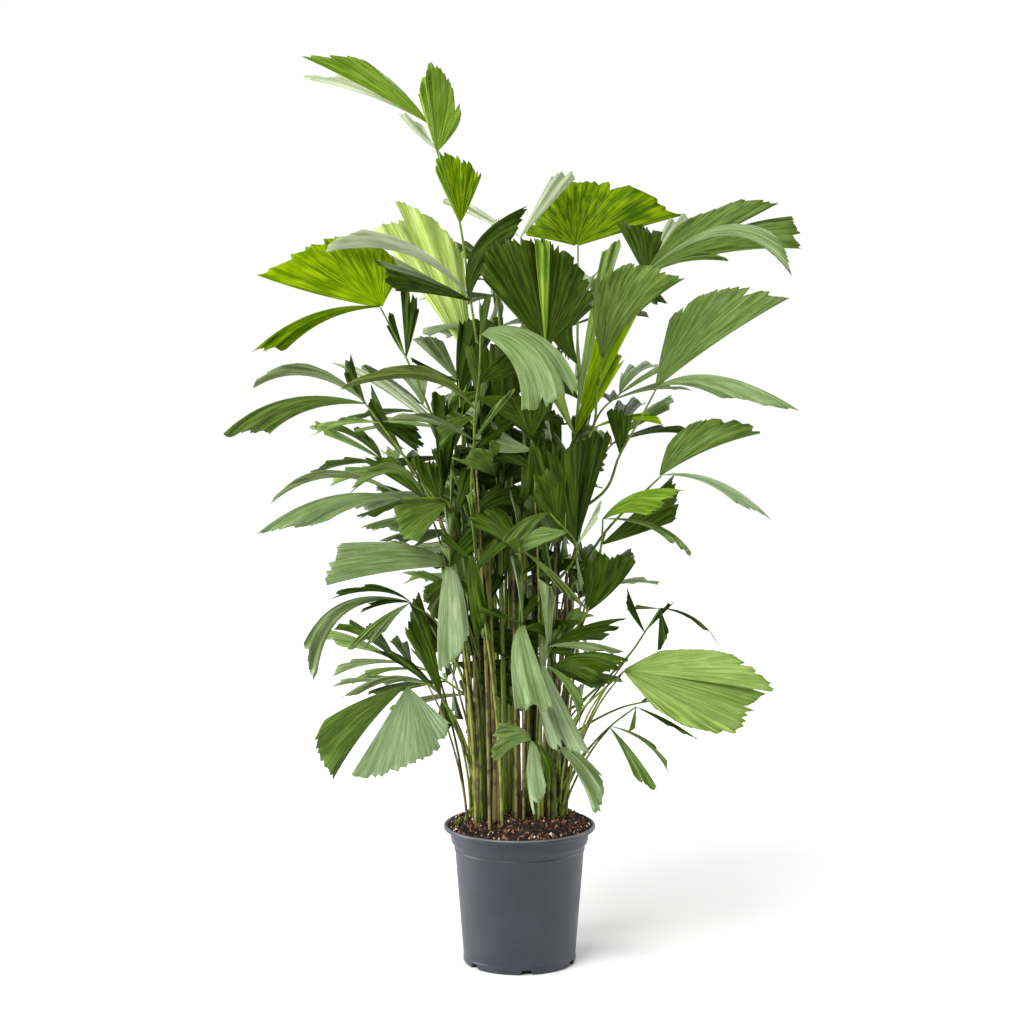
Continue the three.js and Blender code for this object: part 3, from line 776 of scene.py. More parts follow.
UPPER = {
    Tone.LIME: LeafFinish("lime_leaf_backlit", "#a9c80c", "#6c9000", "#486a00", 0.5, 0.3, gloss=0.04, glint_whitening=0.02),
    Tone.DEEP_LIME: LeafFinish(
        "deep_lime_leaf_backlit", "#94b206", "#426800", "#2c4a00", 0.5, 0.3, gloss=0.04, glint_whitening=0.02
    ),
    Tone.PALE_LIME: LeafFinish("pale_lime_leaf_backlit", "#d2e290", "#b2c85a", "#66862a", 0.5, 0.3, gloss=0.08),
    Tone.BRIGHT: LeafFinish("bright_leaf_grown", "#97b63c", "#648a14", "#426206", 0.45, 0.3, gloss=0.12),
    Tone.LEAF_GREEN: LeafFinish(
        "leaf_green_grown", "#758f3e", "#4a651e", "#304a10", 0.45, 0.25, gloss=0.16, glint_whitening=0.06
    ),
    Tone.MID: LeafFinish("mid_green_leaf_grown", "#88a456", "#5b772e", "#3d561a", 0.45, 0.25, gloss=0.2),
    # Sage and mint paint a sheen into the colour: a pale whitish green where a leaflet shows a glossy highlight
    Tone.SAGE: LeafFinish("sage_leaf_waxy", "#90a66c", "#6b8749", "#4b672e", 0.4, 0.2, roughness=0.38, gloss=0.42),
    Tone.MINT: LeafFinish("mint_leaf_waxy", "#a0b485", "#7f9765", "#60784a", 0.35, 0.2, roughness=0.4, gloss=0.38),
    Tone.SPRING: LeafFinish("spring_leaf_grown", "#96b05a", "#76923c", "#526e28", 0.45, 0.2, gloss=0.18),
    # Dark is partly the leaflets' own dark green and partly painted shade, for leaflets that lie in the crown's shade
    Tone.DARK: LeafFinish("dark_leaf_grown", "#4c6710", "#283b00", "#172400", 0.5, 0.35, gloss=0.1, glint_whitening=0.03),
    Tone.GREY: LeafFinish("grey_green_leaf_waxy", "#8f9f6c", "#617540", "#45582c", 0.4, 0.25),
    Tone.OLIVE: LeafFinish("olive_leaf_grown", "#758538", "#4b5a20", "#36440e", 0.45, 0.25, gloss=0.2, glint_whitening=0.08),
    Tone.PALE: LeafFinish("pale_leaf_underside", "#c6d0b0", "#a6b38a", "#7f9062", 0.3, 0.2),
}
LOWER = {
    Tone.LIME: LeafFinish("lime_leaf_underside", "#a6bd4a", "#83a02f", "#63832a", 0.4, 0.25),
    Tone.DEEP_LIME: LeafFinish("deep_lime_leaf_underside", "#94ad3c", "#6f8c26", "#52701f", 0.4, 0.25),
    Tone.PALE_LIME: LeafFinish("pale_lime_leaf_underside", "#b4c46c", "#8fa643", "#6a8434", 0.4, 0.25),
    Tone.BRIGHT: LeafFinish("bright_leaf_underside", "#98ad68", "#708943", "#546d2f", 0.4, 0.25),
    Tone.LEAF_GREEN: LeafFinish("leaf_green_underside", "#8a9f62", "#647b40", "#4a602b", 0.35, 0.25),
    Tone.MID: LeafFinish("mid_leaf_underside", "#95a67a", "#6f8357", "#546a40", 0.35, 0.2),
    Tone.SAGE: LeafFinish("sage_leaf_underside", "#a5b68b", "#829768", "#667c4e", 0.3, 0.2),
    Tone.MINT: LeafFinish("mint_leaf_underside", "#b0c096", "#8fa374", "#70865a", 0.3, 0.2),
    Tone.SPRING: LeafFinish("spring_leaf_underside", "#a3b77c", "#7f9558", "#62793f", 0.35, 0.2),
    Tone.DARK: LeafFinish("dark_leaf_underside", "#647645", "#43542b", "#303f1e", 0.4, 0.25, gloss=0.2, glint_whitening=0.06),
    Tone.GREY: LeafFinish("grey_leaf_underside", "#a1b08a", "#7a8c66", "#5e7249", 0.3, 0.2),
    Tone.OLIVE: LeafFinish("olive_leaf_underside", "#8f9a62", "#6b783f", "#55612c", 0.35, 0.25),
    Tone.PALE: LeafFinish("pale_leaf_upper_side", "#8ba25e", "#617c3b", "#466028", 0.4, 0.25),
}


@dataclass(frozen=True)
class CaneFinish:
    """Palm cane, grown: smooth skin, with matted brown sheath fibre over a part of it."""

    name: str
    skin: str
    skin_light: str
    fibre: str
    fibre_share: float

    def material(self) -> bpy.types.Material:
        """Builds the cane's material: upright streaks, and fibre in long torn patches.

        Returns:
            The material.
        """
        material, tree, shader = new_skin(self.name)
        place = place_of(tree)
        # Fibres are 1 mm wide and about 20 mm long, patches about 15 mm wide and 60 mm long
        threads = grained(tree, stretched(tree, place, (700.0, 700.0, 45.0)), 1.0, 3.0)
        patches = grained(tree, stretched(tree, place, (85.0, 85.0, 14.0)), 1.0, 5.0, 0.7)
        skin = blended(tree, ramped(tree, threads, 0.3, 0.7), linear(self.skin), linear(self.skin_light))
        # The threads fray the edges of the patches
        torn = sum_of(tree, "MULTIPLY_ADD", threads, 0.25)
        tree.links.new(patches, torn.node.inputs[2])
        edge = 0.7 * (1.0 - self.fibre_share)
        mask = ramped(tree, torn, 0.27 + edge, 0.42 + edge)
        coloured(tree, shader, mask, skin, linear(self.fibre))
        roughened(tree, shader, mask, (0.48, 0.85))
        raised(tree, shader, threads, 0.5, 0.8 * MM)
        shader.inputs["Specular IOR Level"].default_value = DRY_SKIN_GLOSS
        return material


@dataclass(frozen=True)
class MouldedPlasticFinish:
    """Recycled polypropylene, injection moulded: dull slate grey with a faint satin."""

    name: str = "polypropylene_moulded"
    colour: str = "#282b36"
    light: str = "#30333e"
    rough: tuple[float, float] = (0.38, 0.5)

    def material(self) -> bpy.types.Material:
        """Builds the pot's material: soft clouding and a fine mould texture.

        Returns:
            The material.
        """
        material, tree, shader = new_skin(self.name)
        place = place_of(tree)
        # Handling leaves a cloudy bloom, in patches of about 50 mm
        mask = ramped(tree, grained(tree, place, 18.0, 4.0), 0.35, 0.7)
        coloured(tree, shader, mask, linear(self.colour), linear(self.light))
        roughened(tree, shader, mask, self.rough)
        # The mould's grain is 0.6 mm, drawn at 1.2 mm so that it shows
        raised(tree, shader, grained(tree, place, 850.0, 2.0), 0.12, 0.4 * MM)
        return material


@dataclass(frozen=True)
class CrumbFinish:
    """Peat, bark or perlite, broken: matt crumbs whose colour shifts from one to the next."""

    name: str
    colour: str
    light: str
    cell_mm: float = 6.0
    roughness: float = 0.9

    def material(self) -> bpy.types.Material:
        """Builds the crumbs' material: a shift of colour over a few millimetres and a torn grain.

        Returns:
            The material.
        """
        material, tree, shader = new_skin(self.name)
        shift = grained(tree, place_of(tree), 1.0 / (self.cell_mm * MM), 5.0)
        coloured(tree, shader, ramped(tree, shift, 0.35, 0.68), linear(self.colour), linear(self.light))
        raised(tree, shader, shift, 0.7, 1.5 * MM)
        shader.inputs["Roughness"].default_value = self.roughness
        return material


@dataclass(frozen=True)
class StalkFinish:
    """Leaf stalk, grown: smooth green skin that browns in short flecks."""

    name: str = "leaf_stalk_grown"
    colour: str = "#6f8a2c"
    fleck: str = "#5a6127"

    def material(self) -> bpy.types.Material:
        """Builds the stalk's material: brown flecks about 15 mm long on green.

        Returns:
            The material.
        """
        material, tree, shader = new_skin(self.name)
        mask = ramped(tree, grained(tree, place_of(tree), 60.0, 4.0), 0.45, 0.62)
        coloured(tree, shader, mask, linear(self.colour), linear(self.fleck))
        shader.inputs["Roughness"].default_value = 0.5
        shader.inputs["Specular IOR Level"].default_value = DRY_SKIN_GLOSS
        return material


SHEATH_FINISHES = (
    StalkFinish("young_stalk_grown", "#919f40", "#6a742e"),
    StalkFinish("older_stalk_grown", "#6c7a2a", "#4c4a26"),
    StalkFinish("withered_stalk", "#857848", "#544630"),
    StalkFinish("shaded_stalk_grown", "#46521c", "#2d2c16"),
)


def new_mesh(
    name: str, points: Sequence[Sequence[float]], faces: Sequence[Sequence[int]], edges: Sequence[Sequence[int]] = ()
) -> bpy.types.Mesh:
    """Makes a mesh whose faces are shaded smooth.

    Args:
        name: Its name.
        points: Its vertices, in metres.
        faces: Its faces, by vertex number.
        edges: Its loose edges, by vertex number.

    Returns:
        The mesh.
    """
    mesh = bpy.data.meshes.new(name)
    mesh.from_pydata(points, edges, faces)
    smoothed(mesh)
    return mesh


def smoothed(mesh: bpy.types.Mesh) -> None:
    """Shades all faces of a mesh smooth.

    Args:
        mesh: The mesh.
    """
    mesh.polygons.foreach_set("use_smooth", [True] * len(mesh.polygons))


def placed(name: str, data: bpy.types.ID) -> bpy.types.Object:
    """Puts a mesh, a light or a camera in the scene as an object at the origin.

    Args:
        name: The object's name.
        data: The mesh, light or camera.

    Returns:
        The object.
    """
    made = bpy.data.objects.new(name, data)
    bpy.context.scene.collection.objects.link(made)
    return made


@dataclass
class Shell:
    """Vertices and faces of one piece as they gather, in millimetres."""

    points: list[np.ndarray] = field(default_factory=list)
    faces: list[tuple[int, ...]] = field(default_factory=list)
    slots: list[int] = field(default_factory=list)
    fans: list[np.ndarray] = field(default_factory=list)
    count: int = 0

    def add(self, points: np.ndarray, faces: np.ndarray, slot: np.ndarray, fan: np.ndarray) -> None:
        """Adds a closed shell.

        Args:
            points: Its vertices, one row each.
            faces: Its quads, one row each, by vertex number.
            slot: The material slot of each face.
            fan: The fan coordinate of each vertex.
        """
        self.points.append(points)
        self.fans.append(fan)
        self.faces.extend(map(tuple, (faces + self.count).tolist()))
        self.slots.extend(slot.tolist())
        self.count += len(points)

    def build(self, name: str, materials: list[bpy.types.Material]) -> bpy.types.Object:
        """Makes the piece's object.

        Args:
            name: The object's name.
            materials: Its material slots.

        Returns:
            The object, linked to the scene.
        """
        mesh = new_mesh(name, (np.concatenate(self.points) * MM).tolist(), self.faces)
        for material in materials:
            mesh.materials.append(material)
        mesh.polygons.foreach_set("material_index", self.slots)
        corners = np.empty(len(mesh.loops), dtype=np.int32)
        mesh.loops.foreach_get("vertex_index", corners)
        layer = mesh.uv_layers.new(name=FAN_UV)
        layer.data.foreach_set("uv", np.concatenate(self.fans)[corners].ravel())
        return placed(name, mesh)


def unit(vectors: np.ndarray) -> np.ndarray:
    """Scales vectors to a length of 1.

    Args:
        vectors: One vector, or an array of them in the last axis.

    Returns:
        The unit vectors.
    """
    return vectors / np.maximum(np.linalg.norm(vectors, axis=-1, keepdims=True), 1e-9)


def sighted(across: float, depth: float, up: float) -> np.ndarray:
    """Moves a point of the front elevation along its line of sight to its depth.

    Args:
        across: Its place to the right of the pot's axis.
        depth: Its depth behind the elevation.
        up: Its height.

    Returns:
        The point in the row's frame.
    """
    on_plane = np.array((across, 0.0, up))
    return VIEWPOINT + (on_plane - VIEWPOINT) * (1 - depth / VIEWPOINT[1])


def stem_point(row: Row, share: np.ndarray) -> np.ndarray:
    """Gives points on a stem's middle line.

    Args:
        row: The stem's row.
        share: The share of the way from foot to top, one for each point.

    Returns:
        The points, one row each.
    """
    foot_x, foot_y, top_x, top_y, top_z = row[:5]
    rise = (top_z - SOIL_TOP) * STEM_BEND
    ends = np.array(
        (
            (foot_x, foot_y, SOIL_TOP),
            (foot_x, foot_y, SOIL_TOP + rise),
            (top_x, top_y, top_z - rise),
            (top_x, top_y, top_z),
        )
    )
    t = np.asarray(share)[:, None]
    return (
        (1 - t) ** 3 * ends[0]
        + 3 * t * (1 - t) ** 2 * ends[1]
        + 3 * t**2 * (1 - t) * ends[2]
        + t**3 * ends[3]
    )


def stem_at(row: Row, height: float) -> np.ndarray:
    """Gives the point on a stem's middle line at a height.

    Args:
        row: The stem's row.
        height: The height in millimetres.

    Returns:
        The point.
    """
    shares = np.linspace(0, 1, 400)
    line = stem_point(row, shares)
    return stem_point(row, np.array([np.interp(height, line[:, 2], shares)]))[0]


def smooth_line(places: np.ndarray, share: np.ndarray) -> np.ndarray:
    """Runs a smooth line through places, by the centripetal Catmull-Rom rule.

    Args:
        places: The places, one row each.
        share: The share of the way, one for each point wanted.

    Returns:
        The points, one row each.
    """
    last = len(places) - 1
    padded = np.vstack((2 * places[0] - places[1], places, 2 * places[-1] - places[-2]))
    points = []
    for t in share:
        span = min(int(t * last), last - 1)
        w = t * last - span
        p0, p1, p2, p3 = padded[span : span + 4]
        gaps = [math.sqrt(np.linalg.norm(b - a)) for a, b in ((p0, p1), (p1, p2), (p2, p3))]
        start = ((p1 - p0) / gaps[0] - (p2 - p0) / (gaps[0] + gaps[1]) + (p2 - p1) / gaps[1]) * gaps[1]
        end = ((p2 - p1) / gaps[1] - (p3 - p1) / (gaps[1] + gaps[2]) + (p3 - p2) / gaps[2]) * gaps[1]
        cubic = (2 * p1 - 2 * p2 + start + end) * w**3
        points.append(cubic + (3 * p2 - 3 * p1 - 2 * start - end) * w**2 + start * w + p1)
    return np.array(points)


def quads(*corners: np.ndarray) -> np.ndarray:
    """Pairs up four arrays of vertex numbers as quads.

    Args:
        corners: The first to the fourth corner of each quad.

    Returns:
        The quads, one row each.
    """
    return np.stack(corners, axis=-1).reshape(-1, 4)


def ring_walls(grid: np.ndarray) -> np.ndarray:
    """Joins rings of vertices to a wall.

    Args:
        grid: The vertices' numbers, a row for each ring.

    Returns:
        The wall's quads, one row each.
    """
    after = np.roll(grid, -1, axis=1)
    return quads(grid[:-1], after[:-1], after[1:], grid[1:])


@dataclass
class Blade:
    """A leaflet: rays fan out from its foot, the first along its long straight margin."""

    joint: np.ndarray
    tip: np.ndarray
    level: bool
    spread_deg: float
    short: float
    arch: float
    crest: float
    seed: int
    half_thickness: float = 0.35
    pleat_width: float = 11.0
    pleat_depth: float = 0.65
    tooth_width: float = 12.0
    tooth_depth: float = 12.0
    tooth_chance: tuple[float, float] = (0.55, 0.45)
    tooth_range: tuple[float, float] = (0.25, 1.25)
    tooth_curve: float = 0.8
    tears: int = 2
    tear_depth: float = 2.2
    torn_length: float = 120.0
    torn_spread: float = 0.3
    nibble: float = 2.2
    ripple: float = 6.0
    ripple_turns: tuple[float, float] = (1.2, 2.6)
    rippled_length: float = 150.0
    most_twist_deg: float = 22.0
    fullness: float = 0.1
    roll_deg: float = 0.0
    least_rays: int = 14
    rays_per_pleat: int = 5
    row_height: float = 14.0
    first_row: float = 0.02

    def __post_init__(self) -> None:
        """Works out the rib, and the way across it, from the foot and the tip."""
        chord = self.tip - self.joint
        along = unit(chord)
        foot = self.joint - along * LEAF_ROOT
        self.length = float(np.linalg.norm(chord)) + LEAF_ROOT
        self.spread = math.radians(abs(self.spread_deg))
        self.hand = math.copysign(1.0, self.spread_deg)
        self.falloff = NARROW_FALLOFF - FALLOFF_PER_DEGREE * abs(self.spread_deg)
        aside = unit(np.array((-along[2], 0.0, along[0])))
        flat = unit(np.array((-along[1], along[0], 0.0)))
        lift = np.cross(along, flat) if self.level else aside
        middle = foot + (self.tip - foot) * self.crest + lift * 2 * self.arch
        self.rib = (foot, middle, self.tip)
        leaning = np.array((aside[0], LEAF_LEAN * aside[2], aside[2]))
        face = flat if self.level else unit(leaning)
        roll = math.radians(self.roll_deg)
        self.face = unit(face * math.cos(roll) + np.cross(along, face) * math.sin(roll))
        self.dice = np.random.default_rng(self.seed)
        self.twist = math.radians(self.most_twist_deg) * math.sin(self.seed)

    def teeth(self, t: np.ndarray, fan: np.ndarray) -> np.ndarray:
        """Cuts the ragged margin.

        Args:
            t: The share of the fan's angle of each ray.
            fan: The length of each ray before it is cut.

        Returns:
            The share of each ray that is cut away.
        """
        rim = float(np.sum(np.hypot(np.diff(fan), self.spread * np.diff(t) * fan[1:])))
        number = max(3, round(rim / self.tooth_width))
        edges = np.sort(self.dice.uniform(0.0, 1.0, number - 1))
        chance, even = self.tooth_chance
        edges = chance * edges + even * np.linspace(0, 1, number + 1)[1:-1]
        starts = np.concatenate(((0.0,), edges))
        ends = np.concatenate((edges, (1.0,)))
        depth = self.tooth_depth * self.dice.uniform(*self.tooth_range, number) / self.length
        if self.length > self.torn_length and self.spread > self.torn_spread:
            depth[self.dice.integers(1, number, self.tears)] *= self.tear_depth
        k = np.clip(np.searchsorted(ends, t), 0, number - 1)
        share = np.clip((t - starts[k]) / (ends[k] - starts[k]), 0, 1)
        if self.dice.random() < 0.5:
            share = 1 - share
        return depth[k] * share**self.tooth_curve + self.nibble * self.dice.random(len(t)) / self.length

    def surface(self, u: np.ndarray, t: np.ndarray, cut: np.ndarray, ripple: np.ndarray) -> np.ndarray:
        """Gives points on the blade's middle surface.

        Args:
            u: The share of each ray's length, down the rows.
            t: The share of the fan's angle, along the columns.
            cut: The share of each ray that its tooth cuts away.
            ripple: The height of the rim's waves at each ray.

        Returns:
            The points, by row and column.
        """
        rows = u[:, None]
        inside = np.clip(t, 0, 1)[None, :]
        angle = self.spread * t[None, :]
        ray = self.length * (1 - (1 - self.short) * inside**self.falloff) * rows * (1 - cut[None, :] * rows**2)
        along = np.cos(angle) * ray / self.length
        held = np.clip(along, 0, 1)[..., None]
        foot, middle, tip = self.rib
        tangent = unit(2 * (1 - held) * (middle - foot) + 2 * held * (tip - middle))
        across = unit(self.face - tangent * np.sum(tangent * self.face, axis=-1, keepdims=True))
        turned = self.twist * held
        across = across * np.cos(turned) + np.cross(tangent, across) * np.sin(turned)
        normal = np.cross(tangent, across)
        line = (1 - held) ** 2 * foot + 2 * held * (1 - held) * middle + held**2 * tip
        line = line + tangent * (along[..., None] - held) * self.length
        line = line + across * (self.hand * np.sin(angle) * ray * rows**-self.fullness)[..., None]
        # The cup, the pleats and the waves start from nothing at the foot; cup and pleats ease off to the rim
        cup = LEAF_CUP * self.length * self.short * np.sin(math.pi * inside) * rows * (1 - 0.5 * rows)
        fold = np.abs((inside * self.pleats) % 1.0 - 0.5) * 2 - 0.5
        relief = fold * self.pleat_depth * np.minimum(1.0, 3 * rows) * (1 - 0.4 * rows)
        wave = ripple[None, :] * rows**2
        return line + normal * (cup + relief + wave)[..., None]

    @property
    def pleats(self) -> int:
        """Counts the pleats that the blade's middle width holds.

        Returns:
            The number of pleats.
        """
        width = self.spread * self.length * (0.5 + 0.5 * self.short)
        return int(np.clip(round(width / self.pleat_width), *PLEATS))

    def grow(self, shell: Shell) -> None:
        """Adds the blade to a piece as a closed thin shell.

        Args:
            shell: The piece.
        """
        rays = max(self.least_rays, self.pleats * self.rays_per_pleat)
        rows = int(np.clip(self.length / self.row_height, *BLADE_ROWS))
        u = np.linspace(self.first_row, 1.0, rows + 1)
        t = np.linspace(0.0, 1.0, rays + 1)
        fan = self.length * (1 - (1 - self.short) * t**self.falloff)
        cut = self.teeth(t, fan)
        phase, turns = self.dice.uniform(0, math.tau), self.dice.uniform(*self.ripple_turns)
        ripple = self.ripple * np.sin(math.tau * turns * t + phase) * min(1.0, self.length / self.rippled_length)
        middle = self.surface(u, t, cut, ripple)
        forward = np.gradient(middle, axis=0)
        sideways = np.gradient(middle, axis=1)
        normal = unit(np.cross(forward, sideways))
        skin = normal * self.half_thickness
        points = np.concatenate(((middle + skin).reshape(-1, 3), (middle - skin).reshape(-1, 3)))
        index = np.arange((rows + 1) * (rays + 1)).reshape(rows + 1, rays + 1)
        below = index + index.size
        top = quads(index[:-1, :-1], index[1:, :-1], index[1:, 1:], index[:-1, 1:])
        under = quads(below[:-1, :-1], below[:-1, 1:], below[1:, 1:], below[1:, :-1])
        loop = np.concatenate((index[:, 0], index[-1, 1:], index[-2::-1, -1], index[0, -2:0:-1]))
        after = np.roll(loop, -1)
        rim = quads(loop, loop + index.size, after + index.size, after)
        # A level leaflet shows its upper side to the sky, an upright one to the viewer
        upward = normal[..., 2].mean() > 0 if self.level else normal[..., 1].mean() < 0
        slots = np.repeat((0 if upward else 1, 1 if upward else 0, 0), (len(top), len(under), len(rim)))
        ribs = self.pleats * RIBS_PER_PLEAT
        first = np.stack(np.meshgrid(u * self.length, t * ribs, indexing="ij"), axis=-1)[..., ::-1]
        shift = (RIBS_APART * self.dice.integers(0, RIB_BANDS), self.dice.uniform(0, VEIN_SHIFT))
        shifted = first.reshape(-1, 2) + np.array(shift)
        shell.add(points, np.concatenate((top, under, rim)), slots, np.concatenate((shifted, shifted)))


def point_on(places: np.ndarray, share: float) -> np.ndarray:
    """Gives one point on the smooth line through places.

    Args:
        places: The places, one row each.
        share: The share of the way.

    Returns:
        The point.
    """
    return smooth_line(places, np.array([share]))[0]


@dataclass
class Frond:
    """A leaf: a stalk through its places, with its leaflets by colour."""

    name: str
    stem: Row
    places: np.ndarray
    blades: list[tuple[Tone, Blade]]

    def stalk(self, step: float) -> tuple[np.ndarray, np.ndarray]:
        """Gives the stalk as a line with radii.

        Args:
            step: The distance between its points.

        Returns:
            The line's points and its radius at each.
        """
        reach = float(np.sum(np.linalg.norm(np.diff(self.places, axis=0), axis=1)))
        share = np.linspace(0, 1, max(4, round(reach / step)))
        return smooth_line(self.places, share), np.interp(share, (0, 1), (PETIOLE_FOOT_RADIUS, PETIOLE_TIP_RADIUS))

    def sheath(self, step: float, seed: int) -> tuple[np.ndarray, np.ndarray]:
        """Gives the stalk's lower length, which hugs the cane from the mix to where the leaf parts from it.

        Args:
            step: The distance between its points.
            seed: The seed of its side of the cane.

        Returns:
            The line's points and its radius at each.
        """
        dice = np.random.default_rng(seed)
        lean = self.places[1] - self.places[0]
        turn = math.atan2(lean[1], lean[0]) + dice.uniform(-SHEATH_TURN, SHEATH_TURN)
        aside = np.array((math.cos(turn), math.sin(turn), 0.0))
        start = self.places[0][2]
        foot, top = self.stem[5:7]
        # Five stops from the mix to the leaf, and how far the stalk stands off the cane's middle at each
        stops = np.array((0.0, 0.3, 0.7, 0.93, 1.0))
        away = np.array((foot + 3 + dice.uniform(0, 4), foot + 1.5, top + 2.5, top + 1, 0.0))
        rise = SOIL_TOP - STALKS_SUNK + (start - SOIL_TOP + STALKS_SUNK) * stops
        axis = np.array([stem_at(self.stem, max(height, SOIL_TOP)) for height in rise])
        axis[0, 2] = rise[0]
        share = np.linspace(0, 1, max(5, round((start - SOIL_TOP) / step)))
        line = smooth_line(axis + aside * away[:, None], share)
        return line, np.interp(share, (0, 1), (SHEATH_RADIUS, PETIOLE_FOOT_RADIUS))

    def companion(self, step: float, seed: int, rank: int = 0) -> tuple[np.ndarray, np.ndarray]:
        """Gives a further stalk that rises free from the mix and joins this one by its first leaflets.

        Args:
            step: The distance between its points.
            seed: The seed of its foot.
            rank: Its place among the frond's further stalks: each joins a little further on.

        Returns:
            The line's points and its radius at each.
        """
        dice = np.random.default_rng(seed)
        turn = dice.uniform(0, math.tau)
        ground = stem_point(self.stem, np.zeros(1))[0]
        # Each further one stands nearer the viewer, is sunk deeper and joins further up
        forward = COMPANION_AWAY * math.sin(turn) - COMPANION_FORWARD * rank
        foot = ground + np.array((COMPANION_AWAY * math.cos(turn), forward, -STALKS_SUNK * (1 + rank)))
        joined = min(1.0, (1 + COMPANION_JOIN * rank) / (len(self.places) - 1))
        end = point_on(self.places, joined)
        lean = end - foot
        # It rises steeply at first and leans out over its upper half
        low = foot + lean * np.array((0.1 + 0.05 * rank, 0.1, 0.36))
        high = foot + lean * np.array((0.48 + 0.06 * rank, 0.48, 0.75))
        share = np.linspace(0, 1, max(6, round(float(np.linalg.norm(lean)) / step)))
        line = smooth_line(np.array((foot, low, high, end)), share)
        return line, np.interp(share, (0, 1), (COMPANION_RADIUS, PETIOLE_TIP_RADIUS))


